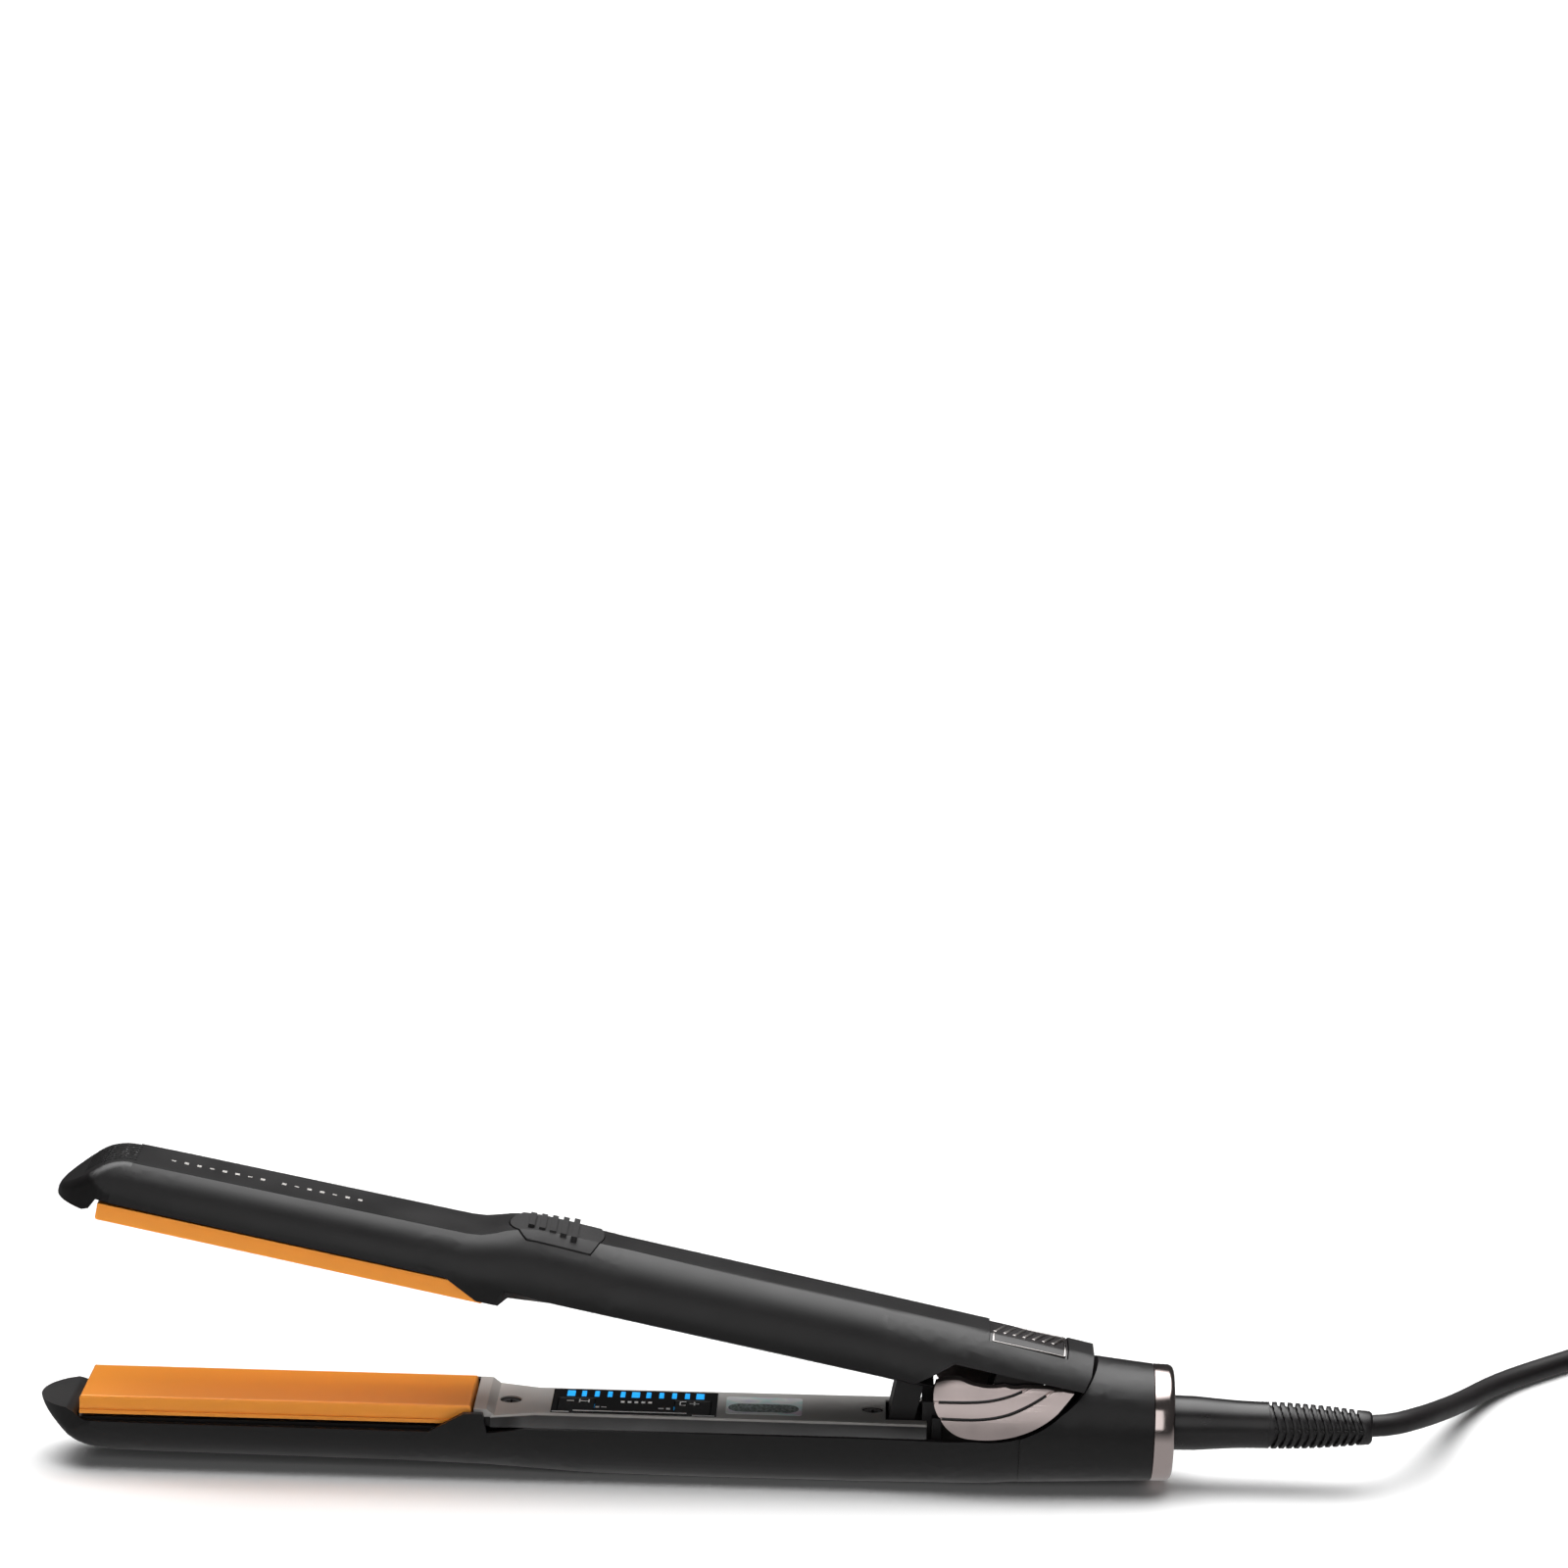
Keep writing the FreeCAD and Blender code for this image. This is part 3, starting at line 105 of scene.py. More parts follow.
class Finishes(PropertyGroup):
    casing: colour("Casing", "Soft-touch coated casing", "#0e0c0d")
    plate: colour("Plate", "Copper-toned plates", "#f99c30")
    cover: colour("Cover", "Inner covers", "#a3a09d")
    metal: colour("Trim metal", "Satin and polished trim", "#dccdca")
    led: colour("Lights", "Panel lights", "#1f9fea")
    cord: colour("Cord", "Cord jacket", "#1b1819")


class Straightener(PropertyGroup):
    arms: PointerProperty(type=ArmSizes)
    plates: PointerProperty(type=PlateSizes)
    panel: PointerProperty(type=PanelSizes)
    cord: PointerProperty(type=CordSizes)
    finishes: PointerProperty(type=Finishes)


def sizes():
    return bpy.context.scene.straightener


# ---------------------------------------------------------------- where the arms stand
def lower_place():
    arms = sizes().arms
    return Matrix.Translation((-arms.half_length, 0.0, arms.plane))


def upper_place():
    arms = sizes().arms
    pivot = Vector((arms.pivot, 0.0, 0.0))
    return (lower_place() @ Matrix.Translation(pivot) @ Matrix.Rotation(arms.opening, 4, "Y")
            @ Matrix.Translation(-pivot))


# ---------------------------------------------------------------- working by hand
def deselect():
    if bpy.context.object and bpy.context.object.mode != "OBJECT":
        bpy.ops.object.mode_set(mode="OBJECT")
    bpy.ops.object.select_all(action="DESELECT")


def pick(obj):
    deselect()
    obj.select_set(True)
    bpy.context.view_layer.objects.active = obj
    return obj


def edit(obj, kind="FACE"):
    pick(obj)
    bpy.ops.object.mode_set(mode="EDIT")
    bpy.ops.mesh.select_mode(type=kind)
    bpy.ops.mesh.select_all(action="DESELECT")


def leave():
    bpy.ops.object.mode_set(mode="OBJECT")


def select_where(kind, test):
    """Selects the vertices, edges or faces of the mesh in edit mode that pass a test."""
    mesh = bmesh.from_edit_mesh(bpy.context.object.data)
    for part in getattr(mesh, kind):
        part.select_set(False)
    for part in getattr(mesh, kind):
        if test(part):
            part.select_set(True)
    bmesh.update_edit_mesh(bpy.context.object.data)


def named(name):
    made = bpy.context.object
    made.name = name
    made.data.name = name
    return made


def freeze(obj, place=None):
    """Puts a piece in its place, with the place in its mesh."""
    pick(obj)
    if place is not None:
        obj.matrix_world = place @ obj.matrix_world
    bpy.ops.object.transform_apply(location=True, rotation=True, scale=True)
    return obj


def smooth(obj, angle=40.0):
    """Smooth shading, where edges sharper than an angle in degrees stay crisp."""
    pick(obj)
    bpy.ops.object.shade_smooth_by_angle(angle=math.radians(angle))
    return obj


def modify(obj, kind, keep=False, **settings):
    pick(obj)
    made = obj.modifiers.new(kind.title(), kind)
    for key, value in settings.items():
        setattr(made, key, value)
    if not keep:
        bpy.ops.object.modifier_apply(modifier=made.name)
    return obj


def rounded(obj, width, segments=3, angle=30.0):
    """Rounds every edge sharper than an angle, as a mould does."""
    return modify(obj, "BEVEL", width=width, segments=segments, limit_method="ANGLE",
                  angle_limit=math.radians(angle), use_clamp_overlap=True, miter_outer="MITER_ARC")


def join(pieces, name):
    deselect()
    for piece in pieces:
        piece.select_set(True)
    bpy.context.view_layer.objects.active = pieces[0]
    if len(pieces) > 1:
        bpy.ops.object.join()
    return named(name)


def slab(name, low, high, radius=0.0, unit=MM):
    """A block between two corners with rounded edges, in millimetres unless told otherwise."""
    low, high, radius = [c * unit for c in low], [c * unit for c in high], radius * unit
    deselect()
    middle = [(a + b) / 2.0 for a, b in zip(low, high)]
    bpy.ops.mesh.primitive_cube_add(size=1.0, location=middle)
    made = named(name)
    bpy.ops.transform.resize(value=[b - a for a, b in zip(low, high)])
    freeze(made)
    if radius:
        rounded(made, radius)
    return made


def lathe(name, points, axis, count=64, closed=True):
    """A round piece about the X direction, drawn ring by ring along its length."""
    deselect()
    first_x, first_radius = points[0]
    bpy.ops.mesh.primitive_circle_add(vertices=count, radius=first_radius, rotation=(0.0, math.pi / 2.0, 0.0),
                                      location=(first_x, 0.0, axis), fill_type="NGON" if closed else "NOTHING")
    made = named(name)
    freeze(made)
    edit(made, "EDGE")
    bpy.ops.mesh.select_all(action="SELECT")
    if closed:
        bpy.ops.mesh.select_mode(type="FACE")
    at, radius = first_x, first_radius
    for x, wide in points[1:]:
        if closed:
            bpy.ops.mesh.extrude_region_move(TRANSFORM_OT_translate={"value": (x - at, 0.0, 0.0)})
        else:
            bpy.ops.mesh.extrude_edges_move(TRANSFORM_OT_translate={"value": (x - at, 0.0, 0.0)})
        bpy.ops.transform.resize(value=(1.0, wide / radius, wide / radius), center_override=(x, 0.0, axis))
        at, radius = x, wide
    bpy.ops.mesh.select_all(action="SELECT")
    bpy.ops.mesh.remove_doubles(threshold=0.000002)
    bpy.ops.mesh.normals_make_consistent(inside=False)
    leave()
    return made


def in_metres(points, start=0.0):
    """Outline points given in millimetres, (x, radius), with x counted from a start in metres."""
    return [(start + x * MM, radius * MM) for x, radius in points]


def bored(name, outside, inside, axis, count=64):
    """A round piece with a bore: the outside ring by ring, then back through the bore."""
    return lathe(name, outside + inside[::-1] + outside[:1], axis, count, closed=False)


def from_node(node, name, width, segments=3, angle=28.0):
    """A finished copy of a moulding's CAD shape, with its triangles merged and its edges rounded."""
    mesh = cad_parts[node].data.copy()
    made = bpy.data.objects.new(name, mesh)
    bpy.context.collection.objects.link(made)
    mesh.materials.clear()
    edit(made, "VERT")
    bpy.ops.mesh.select_all(action="SELECT")
    bpy.ops.mesh.remove_doubles(threshold=0.000004)
    bpy.ops.mesh.dissolve_limited(angle_limit=math.radians(0.4))
    leave()
    mesh.name = name
    if width:
        rounded(made, width, segments, angle)
    smooth(made, 32.0)
    return modify(made, "WEIGHTED_NORMAL", keep=True, keep_sharp=True, weight=60)


def refine(node, name, width, body, material, segments=3):
    """A finished copy of a node, in its material, that stands for the node."""
    return finish_piece(from_node(node, name, width, segments), body, material, [node])


def copies(source, name, offsets):
    """Copies of a piece at several offsets, each with a mesh of its own, joined into one."""
    made = []
    for offset in offsets:
        pick(source)
        bpy.ops.object.duplicate(linked=False)
        bpy.ops.transform.translate(value=offset)
        made.append(freeze(bpy.context.object))
    pick(source)
    bpy.ops.object.delete()
    return join(made, name)


def finish_piece(obj, body, material, nodes=()):
    """Gives a piece its material and body, and hides the nodes it stands for."""
    freeze(obj)
    obj.data.materials.clear()
    obj.data.materials.append(material)
    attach(obj, body)
    if nodes:
        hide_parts(*nodes)
    return obj


def dress_node(node, material):
    """A CAD node whose shape is right keeps it, and gets a finished material."""
    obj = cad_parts[node]
    if not obj.material_slots:
        obj.data.materials.append(material)
    for place in obj.material_slots:
        place.material = material


# ---------------------------------------------------------------- materials
def new_material(name):
    made = bpy.data.materials.new(name)
    made.use_nodes = True
    tree = made.node_tree
    return made, tree, tree.nodes["Principled BSDF"]


def feed(socket, value):
    """Links a socket to another one, or gives it a plain value."""
    if isinstance(value, bpy.types.NodeSocket):
        socket.id_data.links.new(value, socket)
    else:
        socket.default_value = value


def add(tree, kind, inputs=None, stops=(), **settings):
    """Adds one node: settings by name, values or links for its inputs, and the stops of a colour ramp."""
    made = tree.nodes.new(kind)
    for key, value in settings.items():
        setattr(made, key, value)
    for key, value in (inputs or {}).items():
        feed(made.inputs[key], value)
    for number, (position, tone) in enumerate(stops):
        stop = made.color_ramp.elements[number] if number < 2 else made.color_ramp.elements.new(position)
        stop.position, stop.color = position, tone
    return made


def shade(shader, **settings):
    """Plain values and links on the shader's own sockets."""
    for key, value in settings.items():
        feed(shader.inputs[key.replace("_", " ")], value)


def scaled(tone, share):
    """A colour made darker or lighter by a share."""
    return tuple(c * share for c in tone[:3]) + (1.0,)


def arm_coordinates(tree, place):
    """Object coordinates turned to run along an arm, with the nose at zero, in metres."""
    where = add(tree, "ShaderNodeTexCoord")
    turn = place.to_euler()
    return add(tree, "ShaderNodeMapping", {"Vector": where.outputs["Object"], "Location": place.translation,
                                           "Rotation": turn}, vector_type="TEXTURE").outputs["Vector"]


def grain(tree, shader, vector, tone, size_mm, depth_mm, mottle_mm=9.0, contrast=0.12, rough=(0.42, 0.52)):
    """Fine surface grain as bump, with slow changes of tone and sheen over the surface."""
    fine = add(tree, "ShaderNodeTexNoise", {"Vector": vector, "Scale": 1.0 / (size_mm * MM), "Detail": 3.0,
                                            "Roughness": 0.6})
    slow = add(tree, "ShaderNodeTexNoise", {"Vector": vector, "Scale": 1.0 / (mottle_mm * MM), "Detail": 4.0})
    tones = add(tree, "ShaderNodeValToRGB", {"Fac": slow.outputs["Fac"]},
                ((0.35, scaled(tone, 1.0 - contrast)), (0.65, scaled(tone, 1.0 + contrast))))
    gloss = add(tree, "ShaderNodeMapRange", {"Value": slow.outputs["Fac"], "From Min": 0.3, "From Max": 0.7,
                                             "To Min": rough[0], "To Max": rough[1]})
    bump = add(tree, "ShaderNodeBump", {"Height": fine.outputs["Fac"], "Strength": 1.0,
                                        "Distance": depth_mm * MM})
    shade(shader, Base_Color=tones.outputs["Color"], Roughness=gloss.outputs["Result"],
          Normal=bump.outputs["Normal"])


def moulded(name, tone, size_mm=0.25, depth_mm=0.012, rough=(0.42, 0.52), **more):
    """A moulded or coated surface with its own grain."""
    made, tree, shader = new_material(name)
    where = add(tree, "ShaderNodeTexCoord").outputs["Object"]
    grain(tree, shader, where, tone, size_mm, depth_mm, rough=rough, **more)
    return made


def soft_touch(name, place):
    """Polycarbonate casing with a sprayed rubbery coat: deep black, low sheen and very fine orange peel."""
    made, tree, shader = new_material(name)
    along = arm_coordinates(tree, place)
    grain(tree, shader, along, sizes().finishes.casing, 0.35, 0.006, 14.0, 0.1, (0.36, 0.44))
    shade(shader, IOR=1.5, Specular_IOR_Level=0.48)
    return made


def grey_face_dark_slope_cover(name):
    """Moulded ABS cover: satin grey face, and black where its sides slope down to the casing."""
    made, tree, shader = new_material(name)
    along = arm_coordinates(tree, lower_place())
    grain(tree, shader, along, sizes().finishes.cover, 0.3, 0.004, contrast=0.05, rough=(0.38, 0.46))
    face_tone = shader.inputs["Base Color"].links[0].from_socket
    height = add(tree, "ShaderNodeSeparateXYZ", {"Vector": along}).outputs["Z"]
    face = add(tree, "ShaderNodeMapRange", {"Value": height, "From Min": -2.75 * MM, "From Max": -2.55 * MM})
    tone = add(tree, "ShaderNodeMix", {0: face.outputs["Result"], 6: linear("#151314"), 7: face_tone},
               data_type="RGBA")
    shade(shader, Base_Color=tone.outputs[2])
    return made


def plate_metal(name, place):
    """Aluminium under a copper-toned ceramic glaze: smooth, hardly metallic, faintly brushed lengthwise."""
    made, tree, shader = new_material(name)
    along = arm_coordinates(tree, place)
    stretched = add(tree, "ShaderNodeMapping", {"Vector": along, "Scale": (0.03, 1.0, 1.0)})
    tone = sizes().finishes.plate
    grain(tree, shader, stretched.outputs["Vector"], tone, 0.3, 0.0006, 20.0, 0.02, (0.3, 0.34))
    shade(shader, Metallic=0.15, Coat_Weight=0.1, Coat_Roughness=0.15)
    return made


def satin_metal(name, tone, rough=0.3, size_mm=0.2, depth_mm=0.0015, contrast=0.04):
    """Plated or bare metal with a fine satin grain: a soft reflection in the metal's own tone."""
    made, tree, shader = new_material(name)
    where = add(tree, "ShaderNodeTexCoord").outputs["Object"]
    grain(tree, shader, where, tone, size_mm, depth_mm, 5.0, contrast, (rough, rough + 0.06))
    shade(shader, Metallic=1.0)
    return made


def light_guide(name):
    """Clear acrylic bars lit from behind by blue diodes: a glow with faint clouds in it."""
    made, tree, shader = new_material(name)
    where = add(tree, "ShaderNodeTexCoord").outputs["Object"]
    cloud = add(tree, "ShaderNodeTexNoise", {"Vector": where, "Scale": 1.0 / (1.5 * MM), "Detail": 1.0})
    tone = sizes().finishes.led
    tones = add(tree, "ShaderNodeValToRGB", {"Fac": cloud.outputs["Fac"]},
                ((0.0, scaled(tone, 0.85)), (1.0, scaled(tone, 1.25)))).outputs["Color"]
    shade(shader, Base_Color=tones, Roughness=0.2, Emission_Color=tones, Emission_Strength=0.75)
    return made


def foil_label(name):
    """Metallised film label: a bright pearly border round a textured oval seal."""
    made, tree, shader = new_material(name)
    along = arm_coordinates(tree, lower_place())
    oval = along
    for operation, other in (("SUBTRACT", (180.4 * MM, -1.9 * MM, 0.0)), ("ABSOLUTE", (0.0, 0.0, 0.0)),
                             ("MULTIPLY", (1.0, 1.0, 0.0)), ("SUBTRACT", (5.6 * MM, 0.0, 0.0)),
                             ("MAXIMUM", (0.0, 0.0, 0.0))):
        oval = add(tree, "ShaderNodeVectorMath", {0: oval, 1: other}, operation=operation).outputs["Vector"]
    distance = add(tree, "ShaderNodeVectorMath", {0: oval}, operation="LENGTH").outputs["Value"]
    inside = add(tree, "ShaderNodeMapRange", {"Value": distance, "From Min": 3.3 * MM,
                                              "From Max": 3.1 * MM}).outputs["Result"]
    film = add(tree, "ShaderNodeTexNoise", {"Vector": along, "Scale": 1.0 / (6.0 * MM), "Detail": 1.0})
    pearl = ((0.3, "#e9e6f2"), (0.45, "#f4f6f4"), (0.55, "#d5f0ee"), (0.7, "#f3e3f0"))
    border = add(tree, "ShaderNodeValToRGB", {"Fac": film.outputs["Fac"]},
                 [(position, linear(code)) for position, code in pearl])
    weave = add(tree, "ShaderNodeTexVoronoi", {"Vector": along, "Scale": 1.0 / (0.7 * MM)})
    seal = add(tree, "ShaderNodeValToRGB", {"Fac": weave.outputs["Distance"]},
               ((0.0, linear("#4f5856")), (1.0, linear("#97a3a0"))))
    tone = add(tree, "ShaderNodeMix", {0: inside, 6: border.outputs["Color"], 7: seal.outputs["Color"]},
               data_type="RGBA")
    relief = add(tree, "ShaderNodeMath", {0: weave.outputs["Distance"], 1: inside}, operation="MULTIPLY")
    bump = add(tree, "ShaderNodeBump", {"Height": relief.outputs[0], "Distance": 0.05 * MM})
    shade(shader, Base_Color=tone.outputs[2], Metallic=0.1, Roughness=0.25, Normal=bump.outputs["Normal"])
    return made


def hook_tape(name):
    """Nylon hook-and-loop tape: a field of tiny loops, drawn a little coarse so that they show."""
    made, tree, shader = new_material(name)
    where = add(tree, "ShaderNodeTexCoord").outputs["Object"]
    loops = add(tree, "ShaderNodeTexVoronoi", {"Vector": where, "Scale": 1.0 / (0.8 * MM)})
    tones = add(tree, "ShaderNodeValToRGB", {"Fac": loops.outputs["Distance"]},
                ((0.0, linear("#262425")), (1.0, linear("#0e0d0e"))))
    bump = add(tree, "ShaderNodeBump", {"Height": loops.outputs["Distance"], "Distance": 0.3 * MM})
    shade(shader, Base_Color=tones.outputs["Color"], Normal=bump.outputs["Normal"], Roughness=0.85,
          Sheen_Weight=0.3)
    return made


def circuit_board(name):
    """Glass-epoxy board under green solder mask, with faint tracks."""
    made, tree, shader = new_material(name)
    where = add(tree, "ShaderNodeTexCoord").outputs["Object"]
    tracks = add(tree, "ShaderNodeTexBrick", {"Vector": where, "Scale": 1.0 / (4.0 * MM), "Mortar Size": 0.03,
                                              "Color1": linear("#1c4a2c"), "Color2": linear("#1f5231"),
                                              "Mortar": linear("#3b7a4d")})
    shade(shader, Base_Color=tracks.outputs["Color"], Roughness=0.35)
    return made


# ---------------------------------------------------------------- lines cut into a surface
def nose_height(x):
    """Height of the casing's back above the meeting plane near the nose, in millimetres."""
    if x < 8.35:
        return 1.4 + 0.91 * (x + 3.0)
    return 1.92 + math.sqrt(13.3 ** 2 - (x - 17.33) ** 2)


def smooth_line(path, radius, steps, ring_steps):
    """A curve of even thickness along a list of points, in metres, with closed ends."""
    deselect()
    bpy.ops.curve.primitive_nurbs_path_add(location=(0.0, 0.0, 0.0))
    line = bpy.context.object
    line.data.splines.clear()
    spline = line.data.splines.new("NURBS")
    spline.points.add(len(path) - 1)
    for point, where in zip(spline.points, path):
        point.co = (*where, 1.0)
    spline.order_u = 3
    spline.use_endpoint_u = True
    spline.resolution_u = steps
    line.data.bevel_depth = radius
    line.data.bevel_resolution = ring_steps
    line.data.use_fill_caps = True
    return line


def round_line(name, path, radius, place):
    """A closed round bar along a smooth line of points, all in millimetres."""
    pick(smooth_line([[value * MM for value in where] for where in path], radius * MM, 8, 3))
    bpy.ops.object.convert(target="MESH")
    return freeze(named(name), place)


def carve(piece, path, radius, place):
    """Cuts a round groove into a piece along a line."""
    cutter = round_line("groove_cutter", path, radius, place)
    modify(piece, "BOOLEAN", operation="DIFFERENCE", object=cutter, solver="EXACT")
    pick(cutter)
    bpy.ops.object.delete()


# ---------------------------------------------------------------- operators, one for each piece or like group
class PieceOperator:
    bl_options = {"REGISTER", "UNDO"}


class STRAIGHTENER_OT_casings(PieceOperator, Operator):
    """The two arm casings with rounded edges, and the row of printed marks on the upper one"""
    bl_idname = "straightener.casings"
    bl_label = "Arm casings"

    def execute(self, context):
        edge = sizes().arms.edge
        for side, place in (("lower", lower_place()), ("upper", upper_place())):
            shell = from_node(side + "_casing", side + "_shell", edge)
            if side == "upper":
                self.finger_grooves(shell, place)
            coat = soft_touch("Soft-touch coat " + side, place)
            finish_piece(shell, side + "_arm", coat, [side + "_casing"])
        self.printed_row()
        return {"FINISHED"}

    def finger_grooves(self, shell, place):
        """Shallow bowed grooves that run over the nose and give a fingertip some hold."""
        for number in range(7):
            start = 1.9 * (number - 3)
            path = [(x, start + 0.012 * (x - 13.0) ** 2, nose_height(x))
                    for x in (6.0, 7.2, 8.4, 10.0, 12.0, 14.0, 16.0, 18.0)]
            carve(shell, path, 0.28, place)

    def printed_row(self):
        """A spaced row of small plain marks, printed in pale grey along the arm's back."""
        ink = moulded("Pad-printed ink", linear("#b9b6b2"), 0.2, 0.002, (0.5, 0.6))
        marks = []
        for number in range(15):
            x = 26.6 + 3.18 * number + (2.2 if number > 7 else 0.0)
            back = 15.0 + 0.4 * x / 30.0 if x < 30.0 else 15.4 + 0.5 * (x - 30.0) / 60.0
            tall = 0.75 if number % 3 else 0.35
            marks.append(slab("mark", (x - 0.55, -tall, back - 0.03), (x + 0.55, tall, back + 0.03)))
        row = join(marks, "printed_marks")
        freeze(row, upper_place())
        finish_piece(row, "upper_arm", ink)


class STRAIGHTENER_OT_plates(PieceOperator, Operator):
    """The two heated plates, each with rounded face edges and a flange"""
    bl_idname = "straightener.plates"
    bl_label = "Heated plates"

    def execute(self, context):
        s = sizes().plates
        for side, sign, place in (("lower", -1.0, lower_place()), ("upper", 1.0, upper_place())):
            near, far = sign * s.skin, sign * (s.skin + s.thick)
            low = (s.start, -s.width / 2.0, min(near, far))
            high = (s.start + s.run, s.width / 2.0, max(near, far))
            plate = slab(side + "_hot_plate", low, high, unit=1.0)
            edit(plate, "EDGE")
            select_where("edges", lambda e: all(abs(v.co.z - near) < 1e-6 for v in e.verts))
            bpy.ops.mesh.bevel(offset=s.edge, segments=5, affect="EDGES")
            bpy.ops.mesh.select_mode(type="FACE")
            select_where("faces", lambda f: f.normal.z * sign > 0.9)
            bpy.ops.mesh.extrude_region_move(TRANSFORM_OT_translate={"value": (0.0, 0.0, 0.0)})
            bpy.ops.transform.resize(value=(1.0, 1.04, 1.0), center_override=(0.0, 0.0, far))
            bpy.ops.mesh.extrude_region_move(TRANSFORM_OT_translate={"value": (0.0, 0.0, sign * 0.9 * MM)})
            leave()
            smooth(plate)
            freeze(plate, place)
            glaze = plate_metal("Copper ceramic glaze " + side, place)
            finish_piece(plate, side + "_plate_set", glaze, [side + "_plate"])
        return {"FINISHED"}


class STRAIGHTENER_OT_covers(PieceOperator, Operator):
    """The inner covers with their screws, and the trim strip of the upper one"""
    bl_idname = "straightener.covers"
    bl_label = "Inner covers"

    def execute(self, context):
        grey = grey_face_dark_slope_cover("Satin moulded ABS")
        black = moulded("Inner black ABS", linear("#1b191a"), 0.3, 0.005, (0.4, 0.5))
        refine("lower_inner_cover", "lower_cover", 0.25 * MM, "lower_arm", grey)
        refine("upper_inner_cover", "upper_cover", 0.25 * MM, "upper_arm", black)
        refine("trim_strip", "inner_strip", 0.2 * MM, "upper_arm", black)
        self.screws()
        return {"FINISHED"}

    def screws(self):
        steel = satin_metal("Blackened screw steel", linear("#3a3838"), 0.35)
        outline = in_metres([(0.0, 2.3), (0.35, 2.45), (1.4, 2.45), (1.4, 1.2), (8.0, 1.2), (9.2, 0.4)])
        for side, sign, top, place in (("lower", -1.0, 2.7, lower_place()), ("upper", 1.0, 3.8, upper_place())):
            head = lathe("screw_head", outline, 0.0, 32)
            cross = join([slab("bit", (-0.1, -1.25, -0.28), (0.8, 1.25, 0.28)),
                          slab("bit", (-0.1, -0.28, -1.25), (0.8, 0.28, 1.25))], "cross")
            modify(head, "BOOLEAN", operation="DIFFERENCE", object=cross, solver="EXACT", use_self=True)
            pick(cross)
            bpy.ops.object.delete()
            smooth(head, 30.0)
            head.matrix_world = Matrix.Rotation(math.pi / 2.0 * -sign, 4, "Y")
            freeze(head)
            spots = [(x * MM, 0.0, sign * top * MM) for x in (117.3, 207.6)]
            both = copies(head, side + "_screws", spots)
            freeze(both, place)
            finish_piece(both, side + "_arm", steel, [side + "_cover_screws"])


class STRAIGHTENER_OT_panel(PieceOperator, Operator):
    """The touch panel: glossy window, two keys, eleven light bars and plain printed symbols"""
    bl_idname = "straightener.panel"
    bl_label = "Touch panel"

    def execute(self, context):
        gloss = moulded("Gloss black acrylic", linear("#060506"), 0.6, 0.0004, (0.08, 0.12))
        satin = moulded("Key top acrylic", linear("#0a090a"), 0.5, 0.0006, (0.14, 0.2))
        refine("display_window", "panel_window", 0.08 * MM, "lower_arm", gloss, 2)
        for key in ("minus", "plus"):
            refine(key + "_button", key + "_key_top", 0.18 * MM, key + "_key", satin)
        lit = light_guide("Lit acrylic guide")
        refine("led_light_guides", "light_bars", 0.1 * MM, "lower_arm", lit, 2)
        self.symbols()
        return {"FINISHED"}

    def patch(self, x0, x1, y0, y1):
        s = sizes().panel
        low, high = (-s.face - s.print_height) / MM, (-s.face + s.print_height) / MM
        return slab("ink", (x0, y0, low), (x1, y1, high))

    def symbols(self):
        white = moulded("White screen print", linear("#e9e9e8"), 0.2, 0.001, (0.4, 0.5), contrast=0.03)
        lines = [(127.9, 132.2, -8.55, -8.1), (133.1, 161.4, -7.55, -7.0), (162.8, 168.4, -8.95, -8.5)]
        middle = [(144.7 + 1.72 * n, 145.6 + 1.72 * n, -0.4, 1.0) for n in range(5)]
        small = [(138.6, 139.5, -4.6, -3.6), (140.0, 141.3, -4.3, -3.9), (154.2, 155.6, -4.4, -3.8),
                 (156.2, 157.2, -4.7, -3.5)]
        fixed = join([self.patch(*spot) for spot in lines + middle + small], "panel_print")
        finish_piece(freeze(fixed, lower_place()), "lower_arm", white)
        marks = {"minus": [(131.2, 133.0, 0.1, 0.5), (134.3, 136.7, 0.1, 0.5), (134.3, 134.6, -0.9, 1.5),
                           (136.6, 136.9, -0.9, 1.5)],
                 "plus": [(161.9, 164.3, 0.1, 0.5), (162.9, 163.3, -0.9, 1.5), (159.4, 159.7, -0.9, 1.5),
                          (159.4, 161.0, -1.2, -0.9), (159.4, 161.0, 1.5, 1.8)]}
        for key, spots in marks.items():
            sign = join([self.patch(*spot) for spot in spots], key + "_symbol")
            finish_piece(freeze(sign, lower_place()), key + "_key", white)


class STRAIGHTENER_OT_label(PieceOperator, Operator):
    """The foil label behind the panel"""
    bl_idname = "straightener.label"
    bl_label = "Foil label"

    def execute(self, context):
        film = foil_label("Metallised film")
        refine("control_label", "foil_seal", 0.03 * MM, "lower_arm", film, 2)
        return {"FINISHED"}


